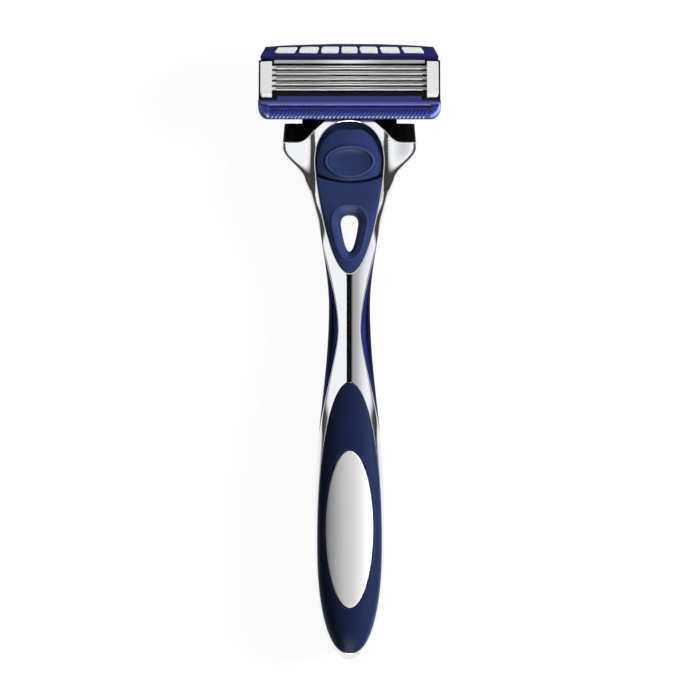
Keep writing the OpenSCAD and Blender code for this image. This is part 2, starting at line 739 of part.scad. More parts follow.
// Elastomer strip of slanted fins on the nose
module guard_fins() {
  n = floor((2 * fin_x - fin_lean - fin_t) / fin_pitch);
  root = bed_t / 2;
  foot = bed_in[0] + fit;
  head = bed_l - bed_in[1] - fit;
  color("#4048a0") on_head() {
    fin_bed(0);
    on_bed() for (i = [0:n]) let (x = (i - n / 2) * fin_pitch - fin_lean / 2)
      plan(-root, fin_up, [[x - fin_t / 2, foot], [x + fin_t / 2, foot],
        [x + fin_t / 2 + fin_lean, head], [x - fin_t / 2 + fin_lean, head]]);
  }
}

// Blade i and its bent support; s runs back from the edge, n is up out of the blade
function off_edge(i, s, n) = [
  edge_v + i * blade_pitch + s * cos(blade_slope) + n * sin(blade_slope),
  n * cos(blade_slope) - s * sin(blade_slope)];
blade_d = 1.05;
grind = 0.25;
rest_s = 0.35;
module blade(i) {
  color("white") on_head() if (i < blade_count) bar(-blade_l / 2, blade_l / 2, [
    off_edge(i, 0, -blade_t / 2), off_edge(i, grind, -blade_t), off_edge(i, blade_d, -blade_t),
    off_edge(i, blade_d, 0), off_edge(i, grind, 0)]);
}
module blade_support(i) {
  v = edge_v + i * blade_pitch + leg_back;
  under = blade_t + sheet;
  s_back = (leg_back + blade_t * sin(blade_slope)) / cos(blade_slope);
  s_front = (leg_back - sheet + under * sin(blade_slope)) / cos(blade_slope);
  color("silver") on_head() if (i < blade_count) bar(-support_l / 2, support_l / 2, [
    off_edge(i, rest_s, -blade_t), off_edge(i, rest_s, -under), off_edge(i, s_front, -under),
    [v - sheet, floor_w], [v, floor_w], off_edge(i, s_back, -blade_t)]);
}
module blade_1() { blade(0); }
module blade_2() { blade(1); }
module blade_3() { blade(2); }
module blade_4() { blade(3); }
module blade_5() { blade(4); }
module blade_support_1() { blade_support(0); }
module blade_support_2() { blade_support(1); }
module blade_support_3() { blade_support(2); }
module blade_support_4() { blade_support(3); }
module blade_support_5() { blade_support(4); }

// Polished bar along the cap
module cap_bar() {
  side = 0.5;
  ease = 0.15;
  foot = face_w - cap_t;
  color("silver") on_head() bar(-blade_l / 2 - side, blade_l / 2 + side, [
    [cap_v, foot], [cap_end, foot], [cap_end, face_w - ease], [cap_end - ease, face_w],
    [cap_v + ease, face_w], [cap_v, face_w - ease]]);
}

// Bent metal clip: strap over the end wall, legs through the frame, feet turned in behind
module clip() {
  foot_w = back_w - 0.02;
  foot_l = 1.5;
  ease = 0.12;
  v0 = clip_v0;
  v1 = clip_v1;
  top = face_w + clip_t;
  color("#e0e0e0") on_head() bar(clip_x0, clip_x1, [
    [v0, foot_w - clip_t], [v0 + foot_l, foot_w - clip_t], [v0 + foot_l, foot_w], [v0 + clip_t, foot_w],
    [v0 + clip_t, face_w], [v1 - clip_t, face_w],
    [v1 - clip_t, foot_w], [v1 - foot_l, foot_w], [v1 - foot_l, foot_w - clip_t], [v1, foot_w - clip_t],
    [v1, top - ease], [v1 - ease, top], [v0 + ease, top], [v0, top - ease]]);
}
module clip_right() { clip(); }
module clip_left() { mirror([1, 0, 0]) clip(); }

// Reservoir: bowed tray with seven windows, hinged behind the cap
tray_side = 0.35;
tray_x = frame_w / 2 - tray_side;
tray_foot = -2.6;
pad_v0 = tray_v0 + 1.2;
pad_v1 = tray_end - 1;
pad_last = 3;
pad_pitch = 4.25;
pad_spread = 0.2;
pad_least = 3.75;
pad_wider = 0.3;
pad_lean = 0.14;
function pad_x(i) = pad_pitch * i + pad_spread * i * abs(i);
function pad_w(i) = pad_least + pad_wider * abs(i);
function pad_pts(i, g) = let (x = pad_x(i), r = pad_w(i) / 2 - g, lean = pad_lean * i)
  [[x + lean - r, pad_v0 + g], [x + lean + r, pad_v0 + g],
   [x - lean + r, pad_v1 - g], [x - lean - r, pad_v1 - g]];
well_side = 0.7;
well_x = pad_x(pad_last) + pad_w(pad_last) / 2 + well_side;
well_v0 = pad_v0 - 0.4;
well_v1 = pad_v1 + 0.2;
well_top = -1.1;
knuckle_up = 0.2;
knuckle_r = 0.9;
knuckle_w = 1.35;
module reservoir_tray() {
  bow = 0.65;
  corner = 1.2;
  half_l = tray_x - corner;
  bow_r = (half_l * half_l + bow * bow) / (2 * bow);
  under = 0.7;
  hinge = [hinge_v, hinge_w];
  knuckle_x = ear_x1 + slide;
  color("#2c2878") on_head() {
    difference() {
      intersection() {
        bar(-tray_x, tray_x, [
          [tray_v0, tray_foot], [tray_end - under, tray_foot], [tray_end, tray_foot + under],
          [tray_end, tray_top - tray_lip], [tray_end - 0.4, tray_top - 0.15],
          [tray_v0 + 0.45, tray_top], [tray_v0, tray_top - 0.4]]);
        translate([0, 0, tray_foot - past]) linear_extrude(2 * past - tray_foot) polygon(mirrored(concat(
          [[tray_x - 0.2, tray_v0], [tray_x, tray_v0 + 0.5]],
          [for (i = [6:-1:0]) let (x = half_l * i / 6)
            [x, tray_end - bow_r + sqrt(bow_r * bow_r - x * x)]])));
      }
      block(-well_x, well_x, well_v0, well_v1, tray_foot - past, well_top);
      for (i = [-pad_last:pad_last]) plan(tray_foot, past, pad_pts(i, 0));
    }
    both() block(knuckle_x, knuckle_x + knuckle_w,
      tray_v0, hinge_v + knuckle_r, hinge_w, tray_foot + knuckle_up);
    both() across(knuckle_x, knuckle_x + knuckle_w, hinge, knuckle_r);
    both() across(ear_x0, knuckle_x + weld, hinge, hinge_r);
  }
}
// Gel strip: slab in the tray's well, pads up through its windows
module gel_strip() {
  proud = 0.1;
  root = 0.2;
  color("#eef4f4") on_head() {
    block(-well_x + fit, well_x - fit, well_v0 + fit, well_v1 - fit,
      tray_foot + knuckle_up + fit, well_top - fit);
    for (i = [-pad_last:pad_last]) plan(well_top - root, tray_top + proud, pad_pts(i, fit));
  }
}

handle_shell();
rear_grip();
front_grip();
badge_plate();
thumb_rest();
head_carrier();
release_button();
button_spring();
plunger();
plunger_spring();
interconnect();
cartridge_frame();
guard_frame();
guard_fins();
blade_1();
blade_2();
blade_3();
blade_4();
blade_5();
blade_support_1();
blade_support_2();
blade_support_3();
blade_support_4();
blade_support_5();
cap_bar();
clip_left();
clip_right();
reservoir_tray();
gel_strip();
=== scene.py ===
"""Cartridge razor lying on its back, seen from straight above on a white table.
Lengths in the sections are in millimetres; h runs along the handle from its tail, and meshes are in metres."""
import math

import bmesh
import bpy
import numpy as np
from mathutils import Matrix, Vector
from mathutils.geometry import delaunay_2d_cdt


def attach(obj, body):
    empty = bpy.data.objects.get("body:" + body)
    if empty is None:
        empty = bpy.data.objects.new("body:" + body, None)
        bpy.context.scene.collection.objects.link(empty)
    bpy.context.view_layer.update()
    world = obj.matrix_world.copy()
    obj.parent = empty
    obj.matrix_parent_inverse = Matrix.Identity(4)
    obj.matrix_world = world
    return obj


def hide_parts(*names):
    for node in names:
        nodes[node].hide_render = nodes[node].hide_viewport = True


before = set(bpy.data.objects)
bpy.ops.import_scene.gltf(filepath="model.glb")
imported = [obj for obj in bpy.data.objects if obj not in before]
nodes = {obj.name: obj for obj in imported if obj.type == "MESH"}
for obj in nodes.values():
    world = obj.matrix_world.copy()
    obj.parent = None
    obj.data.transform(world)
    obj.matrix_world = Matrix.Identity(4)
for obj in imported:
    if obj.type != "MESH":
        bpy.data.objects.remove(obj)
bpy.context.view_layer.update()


# --- Plated front of the handle ---
# One zinc casting, polished and chrome plated: a fork at the head, a slim waisted strip, a rim round the grip.
# It is pressed down over the soft back and carries the inlay, the thumb panel and the black head core.

MM = 0.001
TAIL_Y = -71.0207
MID_Z, SPLIT_Z, CORE_TOP = 6.5, 6.0, 8.95
TAIL_L, GRIP_H, WAIST_H, FLARE_H, WIDEST_H, SHOULDER_H = 25.0, 36.4, 81.7, 110.5, 112.0, 119.4
GRIP_HALF, WAIST_IN, WAIST_HALF, NECK_OUT, NECK_POWER = 7.95, 3.2, 4.75, 5.45, 1.7
WING_OUT, WING_L, FULL_OUT, FULL_H, FULL_L = 5.3, 8.0, 0.42, 108.0, 10.6
TAIL_ROUND, FRONT_T, BACK_T, WAIST_T, SHOULDER_T = 10.0, 6.5, 6.8, 4.3, 3.5


def blend(t):
    """Eases from 0 to 1 while t goes from 0 to 1."""
    return (1 - np.cos(np.pi * np.clip(t, 0, 1))) / 2


def oval(t, power):
    """Half width of an oval: 1 in its middle, 0 where t is 1."""
    return np.maximum(0, 1 - np.minimum(1, np.abs(t)) ** power) ** (1 / power)


def tongue(t, power):
    """Half width of a tongue: 1 at its root, 0 at its tip, where t is 1."""
    return np.sqrt(1 - np.clip(t, 0, 1) ** power)


def half_w(h):
    """Half width of the handle."""
    tail = GRIP_HALF * oval((TAIL_L - h) / TAIL_L, 2)
    grip = GRIP_HALF - WAIST_IN * blend((h - GRIP_H) / (WAIST_H - GRIP_H))
    neck = WAIST_HALF + NECK_OUT * np.clip((h - WAIST_H) / (FLARE_H - WAIST_H), 0, 1) ** NECK_POWER
    wing = WING_OUT * blend((h - FLARE_H) / WING_L)
    full = FULL_OUT * np.sin(np.pi * np.clip((h - FULL_H) / FULL_L, 0, 1))
    return np.where(h < TAIL_L, tail, np.where(h < WAIST_H, grip, neck + wing + full))


def side_t(h, full):
    """Thickness of one side of the handle from its mid-line, full in the grip and the head."""
    waist = blend((h - GRIP_H) / (WAIST_H - GRIP_H)) - blend((h - WAIST_H) / (WIDEST_H - WAIST_H))
    return oval(np.maximum(0, TAIL_ROUND - h) / TAIL_ROUND, 2) * (full + (WAIST_T - full) * waist)


THUMB_TOP, THUMB_MID, THUMB_FOOT, THUMB_HALF = 124.05, 114.4, 89.15, 7.9
THUMB_ROUND, THUMB_TAPER = 2.3, 1.25


def thumb_half(h):
    """Half width of the thumb panel."""
    above = oval((h - THUMB_MID) / (THUMB_TOP - THUMB_MID), THUMB_ROUND)
    below = tongue((THUMB_MID - h) / (THUMB_MID - THUMB_FOOT), THUMB_TAPER)
    return THUMB_HALF * np.where(h > THUMB_MID, above, below)


HUMP_HALF, HUMP_EASE, HUMP_DROP, HUMP_FADE = 7.65, 0.2, 0.35, 3.0
WING_H, WING_RUN = 98.0, 16.0
ARCH_ROUND, ARCH_SQUARE, ARCH_H, ARCH_RUN, BACK_ROUND = 2.2, 3.4, 97.0, 10.0, 2.6


def hump(x):
    """1 on the raised middle of the head, falling to 0 on the shoulders: steep beside the panel, then easy."""
    beside = np.hypot(np.maximum(0, np.abs(x) - HUMP_HALF), HUMP_EASE) - HUMP_EASE
    return np.where(beside < 1, 1 - HUMP_DROP * beside, (1 - HUMP_DROP) * np.exp((1 - beside) / HUMP_FADE))


def shoulder_t(h, t):
    """Thickness t, thinned to that of the shoulders on the wings of the head."""
    return np.minimum(t, t + (SHOULDER_T - t) * blend((h - WING_H) / WING_RUN))


def arch(x, h, power):
    """An oval arch across the handle: 1 on its mid-line, 0 at its edges. The power may change along it."""
    across = np.minimum(np.abs(x) / np.maximum(0.05, half_w(h)), 0.99995)
    return np.maximum(0, 1 - across ** power) ** (1 / power)


def body_z(x, h):
    """Height of the handle's front, as the soft back meets it."""
    full = np.maximum(0.02, side_t(h, FRONT_T))
    low = shoulder_t(h, full)
    power = ARCH_ROUND + ARCH_SQUARE * blend((h - ARCH_H) / ARCH_RUN)
    return MID_Z + low * arch(x, h, power) + (full - low) * hump(x)


STRIP_FOOT, STRIP_TOP, STRIP_RUN = 48.0, 94.0, 12.0
STRIP_BEND, STRIP_EASE, EASE_H, EASE_RUN = 0.061, 0.022, 86.0, 10.0
FALL, FALL_RUN, FALL_HALF, FALL_FADE = 1.5, 4.0, 7.4, 1.6


def front_z(x, h):
    """Height of the metal front: an even arc over the waist, an arch that falls away round the panel's crown."""
    strip = blend((h - STRIP_FOOT) / STRIP_RUN) * (1 - blend((h - STRIP_TOP) / STRIP_RUN))
    bend = STRIP_BEND - STRIP_EASE * blend((h - EASE_H) / EASE_RUN)
    arc = MID_Z + side_t(h, FRONT_T) - bend * x * x
    up = np.maximum(0, h - THUMB_MID)
    ring = (np.abs(x) / THUMB_HALF) ** THUMB_ROUND + (up / (THUMB_TOP - THUMB_MID)) ** THUMB_ROUND
    beyond = np.maximum(0, ring ** (1 / THUMB_ROUND) - 1)
    fall = FALL * beyond * blend(up / FALL_RUN) * (1 - blend((np.abs(x) - FALL_HALF) / FALL_FADE))
    return body_z(x, h) * (1 - strip) + arc * strip - fall


def back_z(x, h):
    """Height of the handle's back surface."""
    full = np.maximum(0.02, side_t(h, BACK_T))
    low = shoulder_t(h, full)
    return np.maximum(0.0, MID_Z - low * arch(x, h, BACK_ROUND) - (full - low) * hump(x))


STRIP_MID, STRIP_HALF, STRIP_BELOW, STRIP_ABOVE = 76.4, 2.7, 26.4, 18.6
SPLAY_ABOVE, SPLAY_BELOW, SPLAY_EASE, NO_CRESCENT = 0.3, 0.362, 0.0038, 99.0


def crescent(h):
    """Half width of the metal strip between the two soft crescents of the waist."""
    up = h - STRIP_MID
    splay = np.where(up > 0, SPLAY_ABOVE, SPLAY_BELOW + SPLAY_EASE * up)
    bow = np.sqrt(STRIP_HALF ** 2 + (splay * up) ** 2)
    return np.where((up > -STRIP_BELOW) & (up < STRIP_ABOVE), bow, NO_CRESCENT)


def mirrored(right):
    """A closed outline from its right half, listed from foot to top."""
    left = right[::-1] * [-1, 1]
    return np.vstack([right, left[np.abs(left[:, 0]) > 1e-4]])


def even(loop, step):
    """The same closed outline with its points at an even spacing."""
    ring = np.vstack([loop, loop[:1]])
    run = np.concatenate([[0], np.cumsum(np.hypot(*np.diff(ring, axis=0).T))])
    at = np.linspace(0, run[-1], max(8, int(round(run[-1] / step))), endpoint=False)
    return np.c_[np.interp(at, run, ring[:, 0]), np.interp(at, run, ring[:, 1])]


def inside(points, loop):
    """Which points lie within a closed outline."""
    x, y = points[:, :1], points[:, 1:]
    ax, ay = loop[:, 0], loop[:, 1]
    bx, by = np.roll(ax, -1), np.roll(ay, -1)
    spans = (ay > y) != (by > y)
    cross = ax + (y - ay) * (bx - ax) / np.where(by == ay, 1e-12, by - ay)
    return (np.sum(spans & (x < cross), axis=1) % 2) == 1


def from_loop(points, loop, batch=2000):
    """Distance of points to an outline, and the direction away from its nearest place."""
    along = np.roll(loop, -1, axis=0) - loop
    length2 = np.maximum(1e-12, np.sum(along * along, axis=1))
    dist, away = np.empty(len(points)), np.empty((len(points), 2))
    for i in range(0, len(points), batch):
        p = points[i:i + batch, None, :] - loop[None]
        t = np.clip(np.sum(p * along, axis=2) / length2, 0, 1)
        gap = p - t[..., None] * along
        d = np.sqrt(np.sum(gap * gap, axis=2))
        k = np.argmin(d, axis=1)
        rows = np.arange(len(k))
        dist[i:i + batch] = d[rows, k]
        away[i:i + batch] = gap[rows, k] / np.maximum(1e-6, d[rows, k])[:, None]
    return dist, away


def slopes(height, p):
    """Slope of a height function in x and h."""
    e = 0.004
    return np.c_[height(p[:, 0] + e, p[:, 1]) - height(p[:, 0] - e, p[:, 1]),
                 height(p[:, 0], p[:, 1] + e) - height(p[:, 0], p[:, 1] - e)] / (2 * e)


def placed(name, data):
    """A new object in the scene."""
    thing = bpy.data.objects.new(name, data)
    bpy.context.collection.objects.link(thing)
    return thing


def mark(piece, name, values):
    """Gives each point of a piece a value that its finish reads by name."""
    piece.data.attributes.new(name, "FLOAT", "POINT").data.foreach_set("value", values)


def triangles(loops, step, seams):
    """Points and triangles within an outline and outside its holes, which turn the other way.

    Points stand on the loops, on rings inside them, along the seams and over the rest in even rows.
    """
    rings = [0.008, 0.03, 0.07, 0.14, 0.25, 0.4, 0.6]

    def within(p):
        keep = inside(p, loops[0])
        for hole in loops[1:]:
            keep &= ~inside(p, hole)
        return keep

    def clear(p):
        return np.min([from_loop(p, loop)[0] for loop in loops], axis=0)

    points, edges = [], []
    for k, loop in enumerate([*loops, *seams]):
        start, n = sum(len(p) for p in points), len(loop)
        edges += [(start + i, start + (i + 1) % n) for i in range(n if k < len(loops) else n - 1)]
        points.append(loop)
    for loop in loops:
        along = np.roll(loop, -1, axis=0) - np.roll(loop, 1, axis=0)
        inward = np.c_[-along[:, 1], along[:, 0]] / np.maximum(1e-9, np.hypot(*along.T))[:, None]
        for d in rings:
            ring = loop + inward * d
            points.append(ring[within(ring) & (clear(ring) > 0.96 * d)])
    low, high = loops[0].min(axis=0), loops[0].max(axis=0)
    grid = []
    for k, h in enumerate(np.arange(low[1], high[1], step * 0.866)):
        row = np.arange(low[0] + (k % 2) * step / 2, high[0], step)
        grid.append(np.c_[row, np.full(len(row), h)])
    grid = np.vstack(grid)
    grid = grid[within(grid)]
    points.append(grid[clear(grid) > rings[-1] * 1.3])
    flat = delaunay_2d_cdt([Vector(p) for p in np.vstack(points)], edges, [], 0, 1e-5)
    at = np.array([tuple(v) for v in flat[0]])
    tris = np.array(flat[2])
    tris = tris[within(at[tris].mean(axis=1))]
    used, tris = np.unique(tris, return_inverse=True)
    at, tris = at[used], tris.reshape(-1, 3)
    a, b, c = at[tris].transpose(1, 0, 2)
    turn = (b[:, 0] - a[:, 0]) * (c[:, 1] - a[:, 1]) - (b[:, 1] - a[:, 1]) * (c[:, 0] - a[:, 0])
    tris[turn < 0] = tris[turn < 0][:, ::-1]
    return at, tris


def wall_normals(at, ends):
    """Normals of upright walls between pairs of points, turning smoothly only where the outline does."""
    along = at[ends[:, 1]] - at[ends[:, 0]]
    straight = np.c_[along[:, 1], -along[:, 0], np.zeros(len(ends))] / np.hypot(*along.T)[:, None]
    outward = np.zeros((len(at), 3))
    np.add.at(outward, ends[:, 0], straight)
    np.add.at(outward, ends[:, 1], straight)
    side = outward[ends[:, [0, 0, 1, 1]]]
    side /= np.maximum(1e-9, np.linalg.norm(side, axis=2))[:, :, None]
    corner = np.einsum("ijk,ik->ij", side, straight) < 0.85
    side[corner] = np.repeat(straight[:, None], 4, axis=1)[corner]
    return side


def plan_piece(name, loops, top, floor, step, rims, seams=()):
    """A closed piece over a plan: outline and holes in loops, heights from top and floor, edges rounded by rims.

    Its relief value is 0.5 on even skin, nearer 1 on ridges and nearer 0 in grooves.
    """
    turned = []
    for i, loop in enumerate(loops):
        loop = even(loop, 0.3)
        area = np.sum(loop[:, 0] * np.roll(loop[:, 1], -1) - np.roll(loop[:, 0], -1) * loop[:, 1])
        turned.append(loop if (area > 0) == (i == 0) else loop[::-1])
    at, tris = triangles(turned, step, seams)
    z, grad = top(at[:, 0], at[:, 1]), slopes(top, at)
    for loop, rim in zip(turned, rims):
        d, away = from_loop(at, loop)
        s = np.clip(1 - d / rim, 0, 0.9995)
        z = z - rim * (1 - np.sqrt(1 - s * s))
        grad = grad + away * (s / np.sqrt(1 - s * s))[:, None]
    normal = np.c_[-grad, np.ones(len(at))]
    base, under = floor(at[:, 0], at[:, 1]), slopes(floor, at)
    below = np.c_[under, -np.ones(len(at))]
    z = np.maximum(z, base + 0.01)
    n = len(at)
    sides = dict.fromkeys((tri[i], tri[(i + 1) % 3]) for tri in tris for i in range(3))
    walls = [(i, n + i, n + j, j) for i, j in sides if (j, i) not in sides]
    faces = [tuple(t) for t in tris] + [tuple(t[::-1] + n) for t in tris] + walls
    xyz = np.vstack([np.c_[at + [0, TAIL_Y], z], np.c_[at + [0, TAIL_Y], base]]) * MM
    mesh = bpy.data.meshes.new(name)
    mesh.from_pydata(xyz.tolist(), [], [tuple(int(k) for k in f) for f in faces])
    mesh.shade_smooth()
    side = wall_normals(at, np.array([(i, j) for i, _, _, j in walls]))
    facing = np.vstack([normal[tris].reshape(-1, 3), below[tris[:, ::-1]].reshape(-1, 3), side.reshape(-1, 3)])
    facing /= np.linalg.norm(facing, axis=1)[:, None]
    mesh.normals_split_custom_set(facing.tolist())
    piece = placed(name, mesh)
    e = 0.15
    curl = sum(top(at[:, 0] + i * e, at[:, 1] + j * e) for i, j in ((1, 0), (-1, 0), (0, 1), (0, -1)))
    relief = np.clip(0.5 - 0.06 * (curl - 4 * top(at[:, 0], at[:, 1])) / e ** 2, 0, 1)
    mark(piece, "relief", np.concatenate([relief, np.full(n, 0.5)]))
    return piece


def linear(code):
    """An sRGB hex colour as linear RGBA."""
    parts = [int(code[i:i + 2], 16) / 255 for i in (1, 3, 5)]
    return [c / 12.92 if c <= 0.04045 else ((c + 0.055) / 1.055) ** 2.4 for c in parts] + [1.0]


def add_node(finish, kind, values=None):
    """Adds a node to a material or the world. A pair of a node and its output is linked, any other value is set."""
    node = finish.node_tree.nodes.new("ShaderNode" + kind)
    for key, value in (values or {}).items():
        if isinstance(value, tuple) and isinstance(value[0], bpy.types.Node):
            finish.node_tree.links.new(value[0].outputs[value[1]], node.inputs[key])
        elif isinstance(key, int) or key in node.inputs:
            node.inputs[key].default_value = value
        else:
            setattr(node, key, value)
    return node


def new_finish(name, kind=bpy.data.materials):
    """An empty material, or an empty world."""
    finish = kind.new(name)
    finish.use_nodes = True
    finish.node_tree.nodes.clear()
    return finish


def add_noise(finish, spot, detail=2.0, **more):
    """Noise fixed to the piece, with spots of a size in millimetres."""
    place = add_node(finish, "TexCoord")
    return add_node(finish, "TexNoise", {"Scale": 1 / (spot * MM), "Detail": detail, **more,
                                         "Vector": (place, "Object")})


def add_range(finish, source, span=(0.0, 1.0), to=(0.0, 1.0), smooth=False):
    """Carries a value from one range to another."""
    return add_node(finish, "MapRange", {"interpolation_type": "SMOOTHSTEP" if smooth else "LINEAR", "Value": source,
                                         "From Min": span[0], "From Max": span[1], "To Min": to[0], "To Max": to[1]})


def add_shader(finish, values):
    """Closes a material with its shader."""
    shader = add_node(finish, "BsdfPrincipled", values)
    add_node(finish, "OutputMaterial", {"Surface": (shader, "BSDF")})


# Chrome plate over polished zinc: a clean mirror, with faint smears a few millimetres long where hands have been.
chrome = new_finish("chrome_plated_zinc")
haze = add_range(chrome, (add_noise(chrome, 4, detail=3.0), "Fac"), (0.35, 0.7), (0.035, 0.075))
add_shader(chrome, {"Base Color": linear("#f1f2f4"), "Metallic": 1.0, "Roughness": (haze, "Result")})

TAIL_GAP, FORK_HALF, FORK_R = 0.14, 10.8, 3.4
CHEEK_HALF, CHEEK_H, CHEEK_R = 4.77, 122.6, 2.0
turn = np.radians(np.arange(0, 90, 1.5))
fillet = np.radians(np.arange(270, 224, -5))
cheek = np.radians(np.arange(45, 91, 5))
run = np.arange(TAIL_L, SHOULDER_H - 0.4, 0.25)
tail_right = np.c_[GRIP_HALF * np.sin(turn), TAIL_GAP + (TAIL_L - TAIL_GAP) * (1 - np.cos(turn))]
WING_HALF = 15.5
wing_corner = [[WING_HALF, 119.1], [15.4, 119.3], [15.2, 119.4]]
chrome_right = np.vstack([
    tail_right,
    np.c_[np.minimum(half_w(run), crescent(run)), run],
    wing_corner,
    np.c_[FORK_HALF + 0.414 * FORK_R + FORK_R * np.cos(fillet), SHOULDER_H + FORK_R * (1 + np.sin(fillet))],
    np.c_[CHEEK_HALF + CHEEK_R * np.cos(cheek), CHEEK_H + CHEEK_R * np.sin(cheek)]])
spread = blend(np.linspace(0, 1, 140))
thumb_run = THUMB_FOOT + (THUMB_TOP - THUMB_FOOT) * spread
thumb_loop = mirrored(np.c_[thumb_half(thumb_run), thumb_run])
INLAY_FOOT, INLAY_MID, INLAY_TOP, INLAY_HALF = 1.75, 27.75, 64.05, 7.4
INLAY_ROUND, INLAY_SQUARE = 2.03, 2.35


def inlay_half(h):
    """Half width of the soft inlay of the grip."""
    above = oval((h - INLAY_MID) / (INLAY_TOP - INLAY_MID), INLAY_ROUND)
    below = oval((INLAY_MID - h) / (INLAY_MID - INLAY_FOOT), INLAY_SQUARE)
    return INLAY_HALF * np.where(h > INLAY_MID, above, below)


inlay_run = INLAY_FOOT + (INLAY_TOP - INLAY_FOOT) * spread
inlay_loop = mirrored(np.c_[inlay_half(inlay_run), inlay_run])
CORE_H, CORE_HALF = 112.8, 9.1


def chrome_floor(x, h):
    """Underside of the casting, higher where it rests on the black core."""
    over_core = (h > SHOULDER_H) | ((h > CORE_H) & (np.abs(x) < CORE_HALF))
    return np.where(over_core, CORE_TOP, SPLIT_Z)


chrome_front = plan_piece("chrome_front", [mirrored(chrome_right), thumb_loop, inlay_loop], front_z, chrome_floor,
                          step=0.4, rims=(0.3, 0.25, 0.15))
chrome_front.data.materials.append(chrome)
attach(chrome_front, "handle")
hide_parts("handle_shell")


# --- Soft back of the handle ---
# Thermoplastic elastomer moulded in one shot: it wraps the back, shows as a crescent on each side of the waist
# and has cross grooves under the fingers. The drop-shaped hole of the neck runs through it.

HOLE_TOP, HOLE_MID, HOLE_FOOT, HOLE_HALF = 102.65, 100.5, 94.15, 2.0
HOLE_ROUND, HOLE_TAPER = 2.6, 1.1
FINGERS, FINGER_H, FINGER_PITCH, FINGER_R, FINGER_D = 9, 17, 4, 2, 0.55
hole_run = HOLE_FOOT + (HOLE_TOP - HOLE_FOOT) * blend(np.linspace(0, 1, 80))
hole_above = oval((hole_run - HOLE_MID) / (HOLE_TOP - HOLE_MID), HOLE_ROUND)
hole_below = tongue((HOLE_MID - hole_run) / (HOLE_MID - HOLE_FOOT), HOLE_TAPER)
hole_edge = mirrored(np.c_[HOLE_HALF * np.where(hole_run > HOLE_MID, hole_above, hole_below), hole_run])


def rear_top(x, h):
    """Top of the soft back: open to the eye in the crescents, under the casting elsewhere."""
    flank = np.abs(x) > crescent(h) + 0.03
    return np.where(flank, np.maximum(body_z(x, h), MID_Z + 0.01), SPLIT_Z - 0.02)


def rear_floor(x, h):
    """Back surface with nine shallow finger grooves."""
    z = np.minimum(back_z(x, h), MID_Z - 0.6)
    for k in range(FINGERS):
        off = h - FINGER_H - FINGER_PITCH * k
        z = np.maximum(z, FINGER_D - FINGER_R + np.sqrt(np.maximum(0, FINGER_R ** 2 - off ** 2)))
    return z


run = np.arange(TAIL_L, SHOULDER_H, 0.25)
handle_right = np.vstack([tail_right, np.c_[half_w(run), run], [[WING_HALF, SHOULDER_H], [0, SHOULDER_H]]])
step_run = np.arange(52.0, 94.0, 0.3)
seams = [np.c_[s * (crescent(step_run) + g), step_run] for s in (-1, 1) for g in (0.0, 0.06)]


def add_bump(finish, noise, strength, height):
    """Relief from a noise, its height in millimetres."""
    return add_node(finish, "Bump", {"Strength": strength, "Distance": height * MM, "Height": (noise, "Fac")})


# Royal-blue elastomer from a polished tool, with a pearl pigment that tints its gloss; along each flank its colour
# carries a pale line of painted sheen and a dark line of painted shade.
royal = new_finish("royal_blue_elastomer")
across = add_node(royal, "Attribute", {"attribute_name": "flank"})
colour = add_node(royal, "ValToRGB", {"Fac": (across, "Fac")})
sheen_and_shade_stops = colour.color_ramp.elements
# Stops of the colour across each flank: the pale one at 0.35 is painted sheen, the near-black one at 0.62 painted
# shade.
for k, (at, code) in enumerate(((0.0, "#22286c"), (0.35, "#2e3884"), (0.62, "#030630"), (1.0, "#16184e"))):
    stop = sheen_and_shade_stops[k] if k < 2 else sheen_and_shade_stops.new(at)
    stop.position, stop.color = at, linear(code)
bumps = add_bump(royal, add_noise(royal, 0.25), 0.12, 0.03)
add_shader(royal, {"Metallic": 0.7, "Roughness": 0.3, "Specular IOR Level": 0.1, "Specular Tint": linear("#20286c"),
                   "Base Color": (colour, "Color"), "Normal": (bumps, "Normal")})

rear = plan_piece("soft_back", [mirrored(handle_right), hole_edge], rear_top, rear_floor, step=0.5,
                  rims=(0.02, 0.05), seams=seams)
spots = np.array([v.co for v in rear.data.vertices]) / MM
spot_h = spots[:, 1] - TAIL_Y
flank = (np.abs(spots[:, 0]) - crescent(spot_h)) / np.maximum(0.3, half_w(spot_h) - crescent(spot_h))
mark(rear, "flank", np.clip(flank, 0, 1))
rear.data.materials.append(royal)
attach(rear, "handle")
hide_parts("rear_grip")


# --- Inlay of the grip ---
# A second elastomer, navy and satin, moulded into the pocket of the casting and standing a little proud of its rim.
# A shallow moat runs round the seat of the oval plate.

PLATE_MID, PLATE_HALF_W, PLATE_HALF_L = 30.35, 5.5, 18.1
INLAY_UP, INLAY_T, MOAT_D, MOAT_W = 0.14, 1.0, 0.28, 0.22
around = np.radians(np.arange(0, 360, 1.5))
plate_loop = np.c_[PLATE_HALF_W * np.cos(around), PLATE_MID + PLATE_HALF_L * np.sin(around)]


def bead(d, height, at, width):
    """A smooth ridge that runs at a distance from a line."""
    return height * np.exp(-((d - at) / width) ** 2)


def inlay_top(x, h):
    """Face of the inlay with the moat round the plate."""
    d = from_loop(np.c_[np.ravel(x), np.ravel(h)], plate_loop)[0]
    return front_z(x, h) + INLAY_UP - bead(d, MOAT_D, 0.0, MOAT_W)


def raised(up):
    """The surface of the front, raised or, below 0, sunk."""
    return lambda x, h: front_z(x, h) + up


def add_mix(finish, low, high, factor):
    """Mix of two colours, each a hex code or a mix, by the output of a node."""
    low, high = (linear(colour) if isinstance(colour, str) else (colour, 2) for colour in (low, high))
    return add_node(finish, "Mix", {"data_type": "RGBA", "Factor": factor, 6: low, 7: high})
